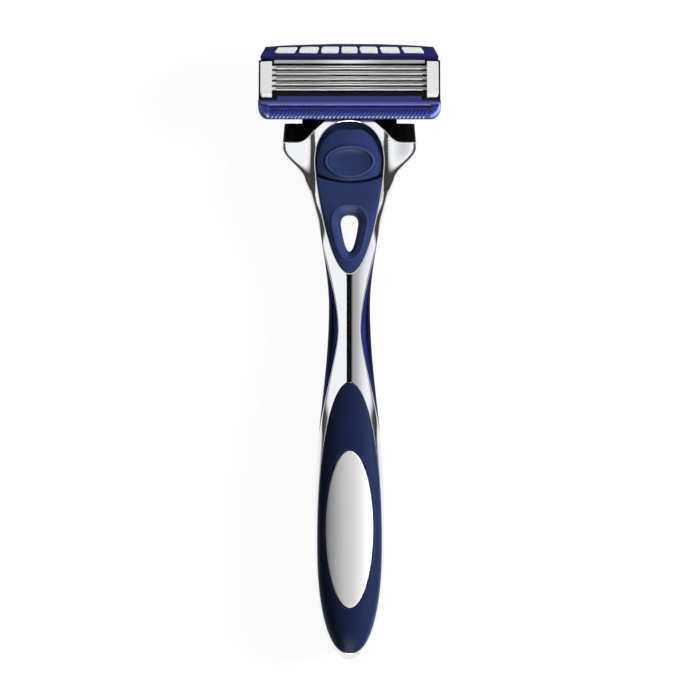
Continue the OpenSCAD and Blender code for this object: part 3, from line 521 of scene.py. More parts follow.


# Two navy elastomers from spark-eroded tools: satin, with a fine even grain; their colour is paler on ridges as a
# painted highlight and darker in grooves as painted shade. The deeper one fills the grip, and lies on the button's
# floor as painted shade.
navies = {}
for name, gleam, dark, light in (("deep_navy_elastomer_and_recess_shade", 0.1, "#161f3c", "#1d284a"),
                                 ("navy_elastomer", 0.2, "#27325e", "#2d3a68")):
    navy = navies[name] = new_finish(name)
    plain = add_mix(navy, dark, light, (add_noise(navy, 5, detail=3.0), "Fac"))
    relief = add_node(navy, "Attribute", {"attribute_name": "relief"})
    # Painted shade in grooves and a painted highlight on ridges, read from the relief of each piece.
    hollow = add_range(navy, (relief, "Fac"), (0.1, 0.5))
    ridge = add_range(navy, (relief, "Fac"), (0.55, 0.95))
    shaded = add_mix(navy, "#0f1430", plain, (hollow, "Result"))
    colour = add_mix(navy, shaded, "#44528c", (ridge, "Result"))
    bumps = add_bump(navy, add_noise(navy, 0.2), 0.15, 0.03)
    add_shader(navy, {"Roughness": 0.42, "IOR": 1.45, "Specular IOR Level": gleam,
                      "Base Color": (colour, 2), "Normal": (bumps, "Normal")})

GAP = 0.05
inlay_inner = INLAY_FOOT + GAP + (INLAY_TOP - INLAY_FOOT - 2 * GAP) * spread
inlay = plan_piece("grip_inlay", [mirrored(np.c_[np.maximum(0, inlay_half(inlay_inner) - GAP), inlay_inner])],
                   inlay_top, raised(-INLAY_T), step=0.4, rims=(0.22,))
inlay.data.materials.append(navies["deep_navy_elastomer_and_recess_shade"])
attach(inlay, "handle")
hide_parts("front_grip")


# --- Oval plate ---
# A stamped aluminium plate, blasted to a satin and left bare, glued into its seat in the inlay.
# Its edge is rolled over and catches the light as a thin line.

PLATE_UP, PLATE_DOWN = 0.28, 0.3

# Satin aluminium: blasted with grit of about 0.1 mm, drawn here at 0.2 mm so that it shows; a broad soft gloss.
satin = new_finish("satin_aluminium")
grit = add_noise(satin, 0.2, detail=3.0, Roughness=0.7)
colour = add_mix(satin, "#d6d6d6", "#e4e4e3", (grit, "Fac"))
bumps = add_bump(satin, grit, 0.2, 0.02)
add_shader(satin, {"Metallic": 0.15, "Roughness": 0.42, "Base Color": (colour, 2), "Normal": (bumps, "Normal")})

plate = plan_piece("oval_plate", [np.c_[(PLATE_HALF_W - GAP) * np.cos(around),
                                        PLATE_MID + (PLATE_HALF_L - GAP) * np.sin(around)]],
                   raised(PLATE_UP), raised(-PLATE_DOWN), step=0.45, rims=(0.28,))
plate.data.materials.append(satin)
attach(plate, "handle")
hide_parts("badge_plate")


# --- Thumb panel ---
# A panel moulded in satin navy elastomer and set into the fork: a pad below the button, a plain floor under it,
# and a rolled, sloping rim round the hole of the neck.

FLOOR_Z, POCKET_Z = 11.4, 10.0
ARC_R, ARC_H, GROOVE = 19.6, 130.0, 0.55
PAD_DOWN, RIM_FALL, RIM_RUN = 0.1, 0.9, 2.0
RIM_SKEW, RIM_MID, RIM_REACH = 0.15, 98.0, 4.0


def arc_h(x, r):
    """Height along the handle of the arc between pad and button."""
    return ARC_H - np.sqrt(r * r - x * x)


def pad_top(x, h):
    """Face of the pad: its rim slopes into the hole, with a ridge along each edge of the slope."""
    p = np.c_[np.ravel(x), np.ravel(h)]
    d = from_loop(p, hole_edge)[0] - RIM_SKEW * np.clip((p[:, 1] - RIM_MID) / RIM_REACH, -1, 1)
    slope = RIM_FALL * (1 - blend(d / RIM_RUN))
    rings = bead(d, 0.12, 2.05, 0.2) + bead(d, 0.07, 0.85, 0.18)
    return front_z(x, h) - PAD_DOWN - slope + rings


def level(z):
    """A flat face at a height."""
    return lambda x, h: np.full(np.shape(x), float(z))


panel_run = THUMB_FOOT + GAP + (THUMB_MID - THUMB_FOOT) * (1 - np.cos(np.linspace(0, np.pi / 2, 120)))
panel_right = np.c_[np.maximum(0, thumb_half(panel_run) - GAP), panel_run]
panel_right = panel_right[panel_right[:, 1] < arc_h(panel_right[:, 0], ARC_R + GROOVE)]
cross = np.linspace(panel_right[-1, 0] - GAP, 0, 40)
panel_right = np.vstack([panel_right, np.c_[cross, arc_h(cross, ARC_R + GROOVE)]])
pad = plan_piece("thumb_pad", [mirrored(panel_right), hole_edge], pad_top, level(POCKET_Z + GAP), step=0.22,
                 rims=(0.3, 0.3))
bay_run = np.linspace(panel_right[-len(cross) - 1, 1], THUMB_TOP - GAP, 100)
bay_right = np.vstack([np.c_[cross[::-1], arc_h(cross[::-1], ARC_R + GROOVE) - 0.02],
                       np.c_[np.maximum(0, thumb_half(bay_run) - GAP), bay_run]])
bay = plan_piece("button_floor", [mirrored(bay_right)], level(FLOOR_Z), level(POCKET_Z + GAP), step=0.8, rims=(0.05,))
# The button's floor takes the deeper navy as painted shade of its recess; the inlay takes it as its own colour.
for part, name in ((pad, "navy_elastomer"), (bay, "deep_navy_elastomer_and_recess_shade")):
    part.data.materials.append(navies[name])
    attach(part, "handle")
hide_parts("thumb_rest")


# --- Release button ---
# Moulded in the same satin navy, crowned, with an oval dish for the thumb inside a low ridge.
# It slides forward in the panel on two legs that push the cartridge off.

TRAVEL, BUTTON_GAP = 1.4, 0.15
BUTTON_TOP = THUMB_TOP - TRAVEL - 0.4
CROWN_Z, CROWN_R, CROWN_H, CROWN_BEND = 13.4, 24.0, 114.0, 0.014
DISH_H, DISH_D, DISH_HALF_W, DISH_HALF_L = 114.9, 0.95, 5.17, 2.78
RIDGE_HALF_W, RIDGE_HALF_L = 5.5, 3.4
STEP_H, STEP_HALF_W, STEP_HALF_L = 115.6, 6.5, 5.3


def button_half(h):
    """Half width of the button, clear of the panel at both ends of its travel."""
    return np.minimum(thumb_half(h), thumb_half(h + TRAVEL)) - BUTTON_GAP


def off_oval(x, h, a, b, mid):
    """Distance from an oval, about, less than 0 inside it."""
    ring = np.maximum(0.05, np.hypot(x / a, (h - mid) / b))
    return (ring - 1) * ring / np.hypot(x / a ** 2, (h - mid) / b ** 2).clip(0.02)


def button_top(x, h):
    """Crown with a dish, a ridge round it with a groove on each side, and a faint step beyond."""
    crown = CROWN_Z - CROWN_R + np.sqrt(CROWN_R ** 2 - x * x) - CROWN_BEND * (h - CROWN_H) ** 2
    inner = np.hypot(x / DISH_HALF_W, (h - DISH_H) / DISH_HALF_L)
    dish = DISH_D * np.maximum(0, 1 - inner ** 2.5) ** 0.9
    d = off_oval(x, h, RIDGE_HALF_W, RIDGE_HALF_L, DISH_H)
    ridge = bead(d, 0.2, 0.0, 0.24) - bead(d, 0.1, -0.5, 0.16) - bead(d, 0.05, 0.5, 0.2)
    step = bead(off_oval(x, h, STEP_HALF_W, STEP_HALF_L, STEP_H), 0.04, 0.0, 0.16) * blend((h - 113) / 3)
    return np.minimum(crown + ridge + step - dish, CROWN_Z)


side_x = float(button_half(arc_h(THUMB_HALF, ARC_R)))
side_h = float(arc_h(side_x, ARC_R))
foot_x = np.linspace(0, side_x, 40)
rise = side_h + (BUTTON_TOP - side_h) * np.sin(np.linspace(0.02, np.pi / 2, 90))
button_right = np.vstack([np.c_[foot_x, arc_h(foot_x, ARC_R)], np.c_[np.maximum(0, button_half(rise)), rise]])
button = plan_piece("release_button_skin", [mirrored(button_right)], button_top, level(FLOOR_Z + 0.15), step=0.17,
                    rims=(0.45,))
button.data.materials.append(navies["navy_elastomer"])
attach(button, "button")
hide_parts("release_button")


# --- Black head core, connector, cartridge frame and plunger ---
# Acetal and filled nylon mouldings, black all through. The core is trapped in the fork; the connector's two arms
# carry the cartridge frame on their pins; the plunger slides in the core and pushes the head back up.

SHARP = 28.0


def crease(bm, sharp):
    """Smooths a mesh, all but its edges above a sharp angle in degrees."""
    for face in bm.faces:
        face.smooth = True
    for edge in bm.edges:
        edge.smooth = edge.calc_face_angle(0.0) < math.radians(sharp)


def coat(piece, finish):
    """Gives a solid of the frame its one finish."""
    piece.data.materials.clear()
    piece.data.materials.append(finish)


def rounded_copy(node, body, radius, finish, shape=None, corner=0.0, axis=None):
    """A copy of a solid with its edges broken, as a mould leaves them.

    shape moves its points, and corner is a larger radius for the edges that run along axis.
    """
    mesh = nodes[node].data.copy()
    mesh.name = node + "_eased"
    piece = placed(node + "_eased", mesh)
    bm = bmesh.new()
    bm.from_mesh(mesh)
    bmesh.ops.remove_doubles(bm, verts=bm.verts, dist=2e-6)
    bmesh.ops.dissolve_limit(bm, angle_limit=math.radians(1.0), verts=bm.verts, edges=bm.edges)
    if corner:
        upright = [edge for edge in bm.edges if edge.calc_face_angle(0.0) > math.radians(40.0)
                   and abs((edge.verts[1].co - edge.verts[0].co).normalized().dot(Vector(axis))) > 0.99]
        bmesh.ops.bevel(bm, geom=upright, offset=corner * MM, segments=4, profile=0.5, affect="EDGES",
                        clamp_overlap=True)
    if shape:
        for vert in bm.verts:
            vert.co = Vector(shape(*(vert.co / MM))) * MM
    crease(bm, SHARP)
    bm.to_mesh(mesh)
    bm.free()
    coat(piece, finish)
    ease = piece.modifiers.new("eased_edges", "BEVEL")
    ease.width = radius * MM
    ease.segments = 2
    ease.limit_method = "ANGLE"
    ease.angle_limit = math.radians(SHARP)
    ease.harden_normals = True
    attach(piece, body)
    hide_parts(node)


# Black acetal for the core and arms, black nylon with a little more gloss for the cartridge: a grain of about 0.15 mm.
blacks = {}
for name, gleam in (("black_acetal", 0.03), ("black_nylon", 0.12)):
    black = blacks[name] = new_finish(name)
    grain = add_noise(black, 0.15)
    bumps = add_bump(black, grain, 0.1, 0.02)
    gloss = add_range(black, (grain, "Fac"), to=(0.32, 0.45))
    add_shader(black, {"Base Color": linear("#050506"), "IOR": 1.48, "Specular IOR Level": gleam,
                       "Roughness": (gloss, "Result"), "Normal": (bumps, "Normal")})

BLOCK_FOOT, BLOCK_L, BLOCK_LEAN = 48.0, 15.5, 0.09


def leaning(x, y, z):
    """The blocks beside the arms draw in towards the head."""
    return x * (1 - BLOCK_LEAN * max(0.0, y - BLOCK_FOOT) / BLOCK_L), y, z


rounded_copy("head_carrier", "handle", 0.3, blacks["black_acetal"], shape=leaning, corner=0.6,
             axis=(0, 0, 1))
rounded_copy("interconnect", "connector", 0.2, blacks["black_acetal"])
rounded_copy("cartridge_frame", "cartridge", 0.08, blacks["black_nylon"])
rounded_copy("plunger", "plunger", 0.15, blacks["black_acetal"])


# --- Guard of the cartridge ---
# Blue ABS moulding with a rounded nose and a flat band in front of the blades, clipped round the black frame.
# A strip of slanted fins in a softer blue elastomer is moulded onto the slope of the nose.

# Blue ABS, moulded: a clear gloss with slow swirls of flow in the colour, and a pale blue painted highlight along the
# thin rim of each front corner and the bead; the reservoir's copy is the same plastic, made deeper with painted shade.
blues = {}
for name, dark, light, gleam in (("blue_abs", "#22256f", "#282c7a", 0.35),
                                 ("blue_abs_painted_shade", "#1e1c56", "#252360", 0.15)):
    blue = blues[name] = new_finish(name)
    colour = add_mix(blue, dark, light, (add_noise(blue, 5, Distortion=1.0), "Fac"))
    rim_highlight = add_node(blue, "Attribute", {"attribute_name": "rim"})
    lit = add_mix(blue, colour, "#93a8f2", (rim_highlight, "Fac"))
    add_shader(blue, {"Roughness": 0.26, "IOR": 1.53, "Specular IOR Level": gleam, "Base Color": (lit, 2)})


def add_axes(finish, kind="Object"):
    """X, Y and Z of a point or a direction."""
    place = add_node(finish, "TexCoord")
    return add_node(finish, "SeparateXYZ", {"Vector": (place, kind)})


def add_math(finish, operation, *values):
    """One step of arithmetic."""
    return add_node(finish, "Math", {"operation": operation, **dict(enumerate(values))})


# Blue elastomer of the fins: slightly clear, so light creeps into the thin ridges; their colour is painted paler lower
# down the nose as painted light, with painted glints on the crests where they roll under it.
PAINTED_LIGHT_Y, GLINT_Y = (55.3 * MM, 54.1 * MM), (54.2 * MM, 54.0 * MM)
fin_blue = new_finish("clear_blue_elastomer")
plain = add_mix(fin_blue, "#26235c", "#2d2a6a", (add_noise(fin_blue, 1.5), "Fac"))
axes = add_axes(fin_blue)
painted_lower_light = add_mix(fin_blue, plain, "#4654b4", (add_range(fin_blue, (axes, "Y"), PAINTED_LIGHT_Y), "Result"))
crest = add_node(fin_blue, "Attribute", {"attribute_name": "crest"})
painted_glints = add_math(fin_blue, "MULTIPLY", (crest, "Fac"), (add_range(fin_blue, (axes, "Y"), GLINT_Y), "Result"))
colour = add_mix(fin_blue, painted_lower_light, "#c4d2ff", (painted_glints, "Value"))
add_shader(fin_blue, {"Roughness": 0.55, "IOR": 1.45, "Specular IOR Level": 0.2, "Subsurface Weight": 0.3,
                      "Subsurface Radius": (0.3, 0.4, 1.0), "Subsurface Scale": 0.4 * MM, "Base Color": (colour, 2)})

SWEPT_SHARP, HEAD_LEAN = 32.0, math.radians(22.0)
PIVOT_Y, PIVOT_Z = 57.0793, 10.8
PIVOT_V, PIVOT_W = 4.9, -4.9
HEAD_UP = (0.0, math.sin(HEAD_LEAN), math.cos(HEAD_LEAN))


def on_head(x, v, w):
    """A point of the cartridge, v back from its front edge and w up from the blades, in the shared frame."""
    c, s = math.cos(HEAD_LEAN), math.sin(HEAD_LEAN)
    return x, PIVOT_Y + (v - PIVOT_V) * c + (w - PIVOT_W) * s, PIVOT_Z - (v - PIVOT_V) * s + (w - PIVOT_W) * c


def off_head(x, y, z):
    """The same the other way."""
    c, s = math.cos(HEAD_LEAN), math.sin(HEAD_LEAN)
    return x, PIVOT_V + (y - PIVOT_Y) * c - (z - PIVOT_Z) * s, PIVOT_W + (y - PIVOT_Y) * s + (z - PIVOT_Z) * c


def swept(name, rings, finishes, node, bands=None):
    """Closed skin through rings of equally many points; bands gives the finish of a side that isn't the first."""
    bands = bands or {}
    bm = bmesh.new()
    loops = [[bm.verts.new(Vector(p) * MM) for p in ring] for ring in rings]
    n = len(rings[0])
    for near, far in zip(loops, loops[1:]):
        for i in range(n):
            k = (i + 1) % n
            bm.faces.new((near[i], near[k], far[k], far[i])).material_index = bands.get(i, 0)
    bm.faces.new(loops[0][::-1])
    bm.faces.new(loops[-1])
    bmesh.ops.recalc_face_normals(bm, faces=bm.faces)
    crease(bm, SWEPT_SHARP)
    mesh = bpy.data.meshes.new(name)
    bm.to_mesh(mesh)
    bm.free()
    for finish in finishes:
        mesh.materials.append(finish)
    piece = placed(name, mesh)
    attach(piece, "cartridge")
    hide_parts(node)
    return piece


HEAD_HALF, BACK_W, FACE_W, GUARD_V = 21.0, -3.2, -0.15, 4.8
NOSE_V, NOSE_W, NOSE_H, NOSE_R = 2.0, -2.5, 1.85, 0.7
CORNER_X, CORNER_V, CORNER_END = 18.7, 3.2, 3.5
NOTCH_X, NOTCH_V = 16.55, 3.7
LEDGE_V, LEDGE_W = 2.15, -2.15
BEAD = [(3.45, FACE_W), (3.27, -0.08), (3.1, -0.05), (2.95, -0.07), (2.82, -0.17), (2.66, -0.38)]
RIM_UP, RIM_X0, RIM_X1, RIM_EASE = 0.2, 18.3, 20.9, 0.5
BEAD_V0, BEAD_V1, BEAD_W, BEAD_HIGHLIGHT = 2.7, 3.2, -0.2, 0.25


def nose(angle, out):
    """Point of the nose at an angle up its curve, some way out of its surface."""
    c, s = math.cos(math.radians(angle)), math.sin(math.radians(angle))
    far = math.hypot(c / NOSE_V, s / NOSE_H)
    return NOSE_V * (1 - c) - out * c / NOSE_V / far, NOSE_W + NOSE_H * s + out * s / NOSE_H / far


def guard_ring(x):
    """Section of the guard: round under the nose, band, bead, groove and the nose itself, drawn in at the ends."""
    side = abs(x)
    t = min(1.0, max(0.0, (side - CORNER_X) / (HEAD_HALF - CORNER_X)))
    front = CORNER_V * (1 - math.sqrt(1 - t * t))
    lift = RIM_UP * float(blend((side - RIM_X0) / RIM_EASE) * blend((RIM_X1 - side) / RIM_EASE))
    loop = [(NOSE_R * (1 + math.cos(a)), BACK_W + NOSE_R * (1 + math.sin(a)))
            for a in np.radians(np.arange(180.0, 271.0, 15.0))]
    loop += [(LEDGE_V, BACK_W), (LEDGE_V, LEDGE_W), (GUARD_V, LEDGE_W), (GUARD_V, FACE_W), *BEAD,
             (2.52, -0.64 + lift), (2.45, -0.98 + 2 * lift)]
    loop += [nose(a, lift * math.sin(math.radians(a))) for a in np.arange(90.0, 5.0, -8.0)]
    end = NOTCH_V if side > NOTCH_X else GUARD_V
    loop = [(min(v, end), w) for v, w in loop]
    return [on_head(x, v if v > CORNER_END else front + v * (1 - front / CORNER_END), w) for v, w in loop]


def painted_rim_highlight(x, y, z):
    """Strength of the painted highlight: 1 along the thin rim of each front corner, less along the bead, 0 elsewhere.
    """
    x, v, w = off_head(x, y, z)
    if w > BEAD_W and BEAD_V0 < v < BEAD_V1:
        return BEAD_HIGHLIGHT
    round_off = math.hypot(max(0.0, abs(x) - CORNER_X) / (HEAD_HALF - CORNER_X), max(0.0, CORNER_V - v) / CORNER_V)
    at_side = float(blend((abs(x) - 17.6) / 1.6) * blend((CORNER_V + 0.3 - v) / 0.8) * blend((w + 2.6) / 0.8))
    return at_side * math.exp(-((1 - round_off) * 2.6 - 0.3) ** 2 / 0.05)


right = [NOTCH_X - 0.01, NOTCH_X + 0.01, 17.2, 17.6, 18.0, 18.3, 18.5, 18.7, 18.95, 19.2, 19.45, 19.7, 19.95, 20.2,
         20.4, 20.6, 20.75, 20.87, 20.95, HEAD_HALF]
stations = [-x for x in right[::-1]] + [0.0] + right
guard = swept("guard_moulded", [guard_ring(x) for x in stations], [blues["blue_abs"]], "guard_frame")
mark(guard, "rim", [painted_rim_highlight(*(vert.co / MM)) for vert in guard.data.vertices])

FIN_X, FIN_PITCH, FIN_LEAN, FIN_UP, FIN_BED, FIN_ROOT = 18.4, 0.89, 1.1, 0.11, 0.03, -0.3
FIN_FOOT, FIN_CREST, FIN_A0, FIN_A1, FIN_ROWS = 0.26, 0.15, 18.0, 80.0, 12
fins = int((2 * FIN_X - FIN_LEAN - 2 * FIN_FOOT) / FIN_PITCH)
# Each point of a fin's crest is marked for the painted glints.
rows, glint_marks = [], []
for k in range(FIN_ROWS + 1):
    angle = FIN_A0 + (FIN_A1 - FIN_A0) * k / FIN_ROWS
    up = FIN_UP * (1 - 0.6 * k / FIN_ROWS)
    low, bed, tip = nose(angle, FIN_ROOT), nose(angle, FIN_BED), nose(angle, FIN_BED + up)
    row = [(-FIN_X, low, 0), (-FIN_X, bed, 0)]
    for i in range(fins + 1):
        x = (i - fins / 2) * FIN_PITCH + FIN_LEAN * (k / FIN_ROWS - 0.5)
        row += [(x - FIN_FOOT, bed, 0), (x - FIN_CREST, tip, 1), (x + FIN_CREST, tip, 1), (x + FIN_FOOT, bed, 0)]
    row += [(FIN_X, bed, 0), (FIN_X, low, 0)]
    rows.append([on_head(x, *place) for x, place, _ in row])
    glint_marks += [float(lit) for _, _, lit in row]
strip = swept("fins_moulded", rows, [fin_blue], "guard_fins")
mark(strip, "crest", glint_marks)


# --- Blades, supports and cap bar ---
# Five ground stainless blades, each welded to a bent support that rests in the frame's slots;
# a polished bar is set along the cap behind them.

# Ground stainless steel: a soft gloss with fine grinding lines along the blade, 0.05 mm apart, drawn at 0.12 mm, and a
# painted sheen that makes it palest in the middle of the span. A darker copy puts painted shade on the hollow beside
# the edge.
LINE_L, LINE_W, SHEEN_HALF = 20, 0.12, 10
grounds = {}
for name, side, middle in (("ground_stainless_steel", "#b4b4b5", "#f4f4f4"),
                           ("steel_painted_hollow_shade", "#6a6a6c", "#808081")):
    steel = grounds[name] = new_finish(name)
    place = add_node(steel, "TexCoord")
    along = add_node(steel, "Mapping", {"Scale": [1 / (size * MM) for size in (LINE_L, LINE_W, LINE_W)],
                                       "Vector": (place, "Object")})
    lines = add_node(steel, "TexNoise", {"Scale": 1.0, "Detail": 2.0, "Vector": (along, "Vector")})
    gloss = add_range(steel, (lines, "Fac"), to=(0.3, 0.4))
    off = add_math(steel, "ABSOLUTE", (add_axes(steel), "X"))
    mid = add_range(steel, (off, "Value"), (SHEEN_HALF * MM, 0.0), smooth=True)
    colour = add_mix(steel, side, middle, (mid, "Result"))
    add_shader(steel, {"Metallic": 0.35, "Base Color": (colour, 2), "Roughness": (gloss, "Result")})


def speckled(name, spot, code, metal, dull):
    """A metal of one colour whose gloss changes in fine spots."""
    finish = new_finish(name)
    gloss = add_range(finish, (add_noise(finish, spot), "Fac"), to=dull)
    add_shader(finish, {"Base Color": linear(code), "Metallic": metal, "Roughness": (gloss, "Result")})
    return finish


# Blasted stainless steel of the supports: pale and matt, with a grit of about 0.1 mm.
BLADES = 5
blasted = speckled("blasted_stainless_steel", 0.1, "#f8f8f8", 0.25, (0.4, 0.55))
for k in range(BLADES):
    coat(nodes[f"blade_support_{k + 1}"], blasted)

# Honed edge of the blades: the same steel, painted white along its facet as a highlight.
edge_highlight = speckled("steel_painted_edge_highlight", 0.2, "#ffffff", 0.0, (0.4, 0.5))

EDGE_V, BLADE_PITCH, BLADE_HALF, BLADE_D, BLADE_T = 6.2, 1.34, 16.8, 1.05, 0.12
GRIND, HOLLOW, HOLLOW_D, BLADE_SLOPE = 0.33, 0.65, 0.012, math.radians(24.0)


def blade_ring(k, x):
    """Section of a blade: edge, ground bevel and hollow-ground face."""
    c, s = math.cos(BLADE_SLOPE), math.sin(BLADE_SLOPE)
    loop = [(0.0, -BLADE_T / 2), (GRIND, -BLADE_T), (BLADE_D, -BLADE_T), (BLADE_D, 0.0), (HOLLOW, -HOLLOW_D),
            (GRIND, 0.0)]
    return [on_head(x, EDGE_V + k * BLADE_PITCH + along * c + up * s, up * c - along * s) for along, up in loop]


# The edge facet takes the painted highlight, the hollow face the painted shade.
steels = [grounds["ground_stainless_steel"], edge_highlight, grounds["steel_painted_hollow_shade"]]
for k in range(BLADES):
    swept(f"blade_{k + 1}_ground", [blade_ring(k, -BLADE_HALF), blade_ring(k, BLADE_HALF)], steels,
          f"blade_{k + 1}", bands={5: 1, 4: 2})

CAP_V, CAP_BACK, CAP_SLIM = 13.05, 0.05, 0.72


def slimmer(x, y, z):
    """The bar is slimmer than its ledge."""
    x, v, w = off_head(x, y, z)
    return on_head(x, CAP_V + CAP_BACK + CAP_SLIM * (v - CAP_V), w)


rounded_copy("cap_bar", "cartridge", 0.12, grounds["ground_stainless_steel"], shape=slimmer)


# --- Springs ---
# Two open coils, wound from drawn spring wire: one behind the plunger pushes it up against the head,
# one in front of the button pushes it back after a press. They sit loose in their pockets.

# Drawn steel wire: dull gloss, slightly grey.
wire = speckled("drawn_spring_wire", 0.3, "#9a9b9e", 1.0, (0.25, 0.4))
for node in ("button_spring", "plunger_spring"):
    coat(nodes[node], wire)


# --- Clips ---
# Two straps stamped from aluminium sheet and tumbled, then bent over the ends of the blade stack to hold it down.
# Their feet are turned in behind the frame.

# Tumbled aluminium: pale and matt, mottled in spots of about 0.3 mm.
tumbled = new_finish("tumbled_aluminium")
spots = add_noise(tumbled, 0.3, detail=3.0)
colour = add_mix(tumbled, "#e6e6e6", "#fafafa", (spots, "Fac"))
bumps = add_bump(tumbled, spots, 0.3, 0.02)
add_shader(tumbled, {"Metallic": 0.35, "Roughness": 0.5, "Base Color": (colour, 2), "Normal": (bumps, "Normal")})
CLIP_X0, CLIP_X1, CLIP_V0, CLIP_V1, CLIP_TOP, CLIP_FOOT = 17.8, 20.45, 4.5, 13.5, 0.15, -3.22
FOOT_L, FOOT_T, LEG_FRONT, LEG_REAR, STEP_D = 1.5, 0.3, 0.25, 0.2, 0.14
CLIP_ENDS = ((CLIP_X0, 0.0, 0.0), (CLIP_X1 - 0.35, 0.0, 0.05), (CLIP_X1 - 0.12, 0.5, 0.15), (CLIP_X1, 0.9, 0.35))


def clip_ring(x, front, rear):
    """Section of a clip: stepped strap, two legs and the feet turned in; front and rear draw its ends in."""
    v0, v1, foot, sole = CLIP_V0, CLIP_V1, CLIP_FOOT, CLIP_FOOT - FOOT_T
    loop = [(v0, sole), (v0 + FOOT_L, sole), (v0 + FOOT_L, foot), (v0 + LEG_FRONT, foot), (v0 + LEG_FRONT, FACE_W),
            (v1 - LEG_REAR, FACE_W), (v1 - LEG_REAR, foot), (v1 - FOOT_L, foot), (v1 - FOOT_L, sole), (v1, sole),
            (v1, CLIP_TOP - 0.12), (v1 - 0.12, CLIP_TOP), (v0 + 0.6, CLIP_TOP), (v0 + 0.48, CLIP_TOP - STEP_D),
            (v0 + 0.1, CLIP_TOP - STEP_D), (v0, CLIP_TOP - STEP_D - 0.1)]
    scale = (v1 - v0 - front - rear) / (v1 - v0)
    return [on_head(x, v0 + front + (v - v0) * scale, w) for v, w in loop]


for node, side in (("clip_left", -1), ("clip_right", 1)):
    swept(node + "_bent", [clip_ring(side * x, front, rear) for x, front, rear in CLIP_ENDS], [tumbled], node)


# --- Reservoir ---
# A tray moulded in the same blue ABS and hinged behind the cap, with seven windows in its face.
# One strip of pressed shaving gel is set in from below, and its seven pads fill the windows.

TRAY_V0, TRAY_L, TRAY_HALF, TRAY_BOW, TRAY_FLAT = 14.4, 3.9, 19.3, 0.45, 1.3


def bowed(x, y, z):
    """The rear edge of the tray and its windows falls away to the sides."""
    x, v, w = off_head(x, y, z)
    back = min(1.0, max(0.0, (v - TRAY_V0 - TRAY_FLAT) / (TRAY_L - TRAY_FLAT)))
    return on_head(x, v - TRAY_BOW * back * min(1.0, (x / TRAY_HALF) ** 2), w)


# The tray takes the deeper copy of the blue ABS, whose colour is painted shade.
rounded_copy("reservoir_tray", "reservoir", 0.15, blues["blue_abs_painted_shade"], shape=bowed, corner=0.45,
             axis=HEAD_UP)

# Pressed gel: waxy white, mottled between a pale green and a cool white in spots of about 0.6 mm.
gel = new_finish("pressed_gel")
colour = add_mix(gel, "#e8f0e4", "#f6fafc", (add_noise(gel, 0.6, detail=3.0), "Fac"))
add_shader(gel, {"Roughness": 0.45, "IOR": 1.4, "Subsurface Weight": 0.25, "Subsurface Radius": (1.0, 1.0, 0.9),
                 "Subsurface Scale": 0.4 * MM, "Base Color": (colour, 2)})
rounded_copy("gel_strip", "reservoir", 0.25, gel, shape=bowed, corner=0.42, axis=HEAD_UP)


# --- Table, light and camera ---
# A white table under a white tent: a strong window on the right, a weak one on the left,
# and a dark flag overhead that draws the line down polished metal.

def sheet(name, x0, y0, x1, y1, z, order):
    """A flat sheet, its sides in metres."""
    mesh = bpy.data.meshes.new(name)
    mesh.from_pydata([(x0, y0, z), (x1, y0, z), (x1, y1, z), (x0, y1, z)], [], [order])
    return placed(name, mesh)


table = sheet("table", -2, -2, 2, 2, 0, (0, 1, 2, 3))

# White paper, lit until it is white all over; polished metal sees it through a painted pool of light, bright below the
# razor and dark further off.
WHITE, HEAD_END, POOL = (1, 1, 1, 1), 0.075, (0.018, 0.045)
paper = new_finish("white_paper")
rays = add_node(paper, "LightPath")
seen = add_math(paper, "MAXIMUM", (rays, "Is Camera Ray"), (rays, "Is Transmission Ray"))
glow = add_node(paper, "Emission", {"Color": WHITE, "Strength": 0.94})
matt = add_node(paper, "BsdfDiffuse", {"Color": (0.12, 0.12, 0.12, 1)})
lit = add_node(paper, "AddShader", {0: (glow, "Emission"), 1: (matt, "BSDF")})
axes = add_axes(paper)
aside = add_math(paper, "ABSOLUTE", (axes, "X"))
beyond = add_math(paper, "SUBTRACT", (axes, "Y"), HEAD_END)
away = add_math(paper, "MAXIMUM", (aside, "Value"), (beyond, "Value"))
painted_pool = add_range(paper, (away, "Value"), POOL, (0.95, 0.05), smooth=True)
mirror = add_node(paper, "Emission", {"Color": WHITE, "Strength": (painted_pool, "Result")})
bounce = add_node(paper, "BsdfDiffuse", {"Color": (0.3, 0.3, 0.3, 1)})
other = add_node(paper, "MixShader", {0: (rays, "Is Glossy Ray"), 1: (bounce, "BSDF"), 2: (mirror, "Emission")})
both = add_node(paper, "MixShader", {0: (seen, "Value"), 1: (other, "Shader"), 2: (lit, "Shader")})
add_node(paper, "OutputMaterial", {"Surface": (both, "Shader")})
table.data.materials.append(paper)

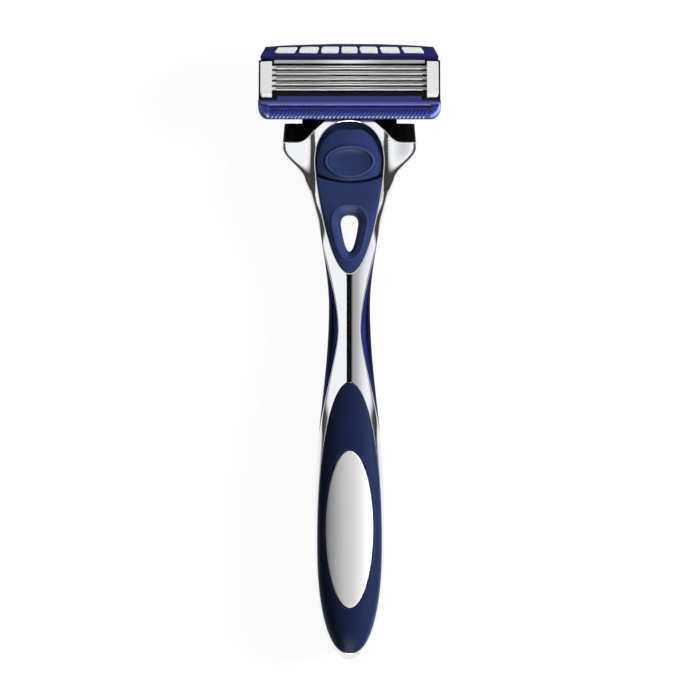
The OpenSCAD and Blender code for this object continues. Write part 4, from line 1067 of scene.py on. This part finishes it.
# White cloth of the tent: bright overhead, fading towards the table, most of all at the tail end.
world = new_finish("white_tent", bpy.data.worlds)
rays = add_node(world, "LightPath")
axes = add_axes(world, "Generated")
open_end = add_range(world, (axes, "Y"), (0.05, 0.2), (0.06, 0.55), smooth=True)
skirt = add_range(world, (axes, "Z"), (0.25, 0.55), ((open_end, "Result"), 1.0), smooth=True)
tent = add_range(world, (rays, "Is Glossy Ray"), to=(0.05, (skirt, "Result")))
amount = add_math(world, "MAXIMUM", (tent, "Result"), (rays, "Is Camera Ray"))
cloth = add_node(world, "Background", {"Color": WHITE, "Strength": (amount, "Value")})
add_node(world, "OutputWorld", {"Surface": (cloth, "Background")})
bpy.context.scene.world = world

flag = sheet("dark_flag", -0.31, -2.5, 2.2, 0.35, 1.9, (0, 3, 2, 1))
for ray in ("camera", "diffuse", "shadow", "transmission"):
    setattr(flag, "visible_" + ray, False)

# Dark cloth of the flag: near black along its left edge, paler to the right; only gloss shows it.
cloth = new_finish("dark_flag_cloth")
axes = add_axes(cloth)
first = add_range(cloth, (axes, "X"), (0.15, 0.42), (0.006, 0.38), smooth=True)
second = add_range(cloth, (axes, "X"), (0.35, 2.1), (0.0, 0.55), smooth=True)
total = add_math(cloth, "ADD", (first, "Result"), (second, "Result"))
glow = add_node(cloth, "Emission", {"Color": WHITE, "Strength": (total, "Value")})
add_node(cloth, "OutputMaterial", {"Surface": (glow, "Emission")})
flag.data.materials.append(cloth)

# The front strip is for gloss alone: it draws the bright lines on edges that face the tail.
for name, spot, size, power, gloss in (("right_window", (0.95, 0.12, 0.42), 0.5, 22.0, False),
                                       ("left_window", (-0.7, 0.2, 0.9), 0.6, 1.2, False),
                                       ("front_strip", (0.0, -0.9, 0.3), 0.6, 10.0, True)):
    lamp = bpy.data.lights.new(name, "AREA")
    lamp.size = size
    lamp.energy = power
    holder = placed(name, lamp)
    holder.location = spot
    holder.rotation_euler = Vector(spot).to_track_quat("Z", "Y").to_euler()
    holder.visible_glossy = gloss
    holder.visible_diffuse = not gloss

lens = bpy.data.cameras.new("camera")
lens.sensor_width = 36.0
lens.lens = 333.0
camera = placed("camera", lens)
camera.location = (0.00012, 0.00051, 1.5)
bpy.context.scene.camera = camera
bpy.context.scene.view_settings.view_transform = "Standard"
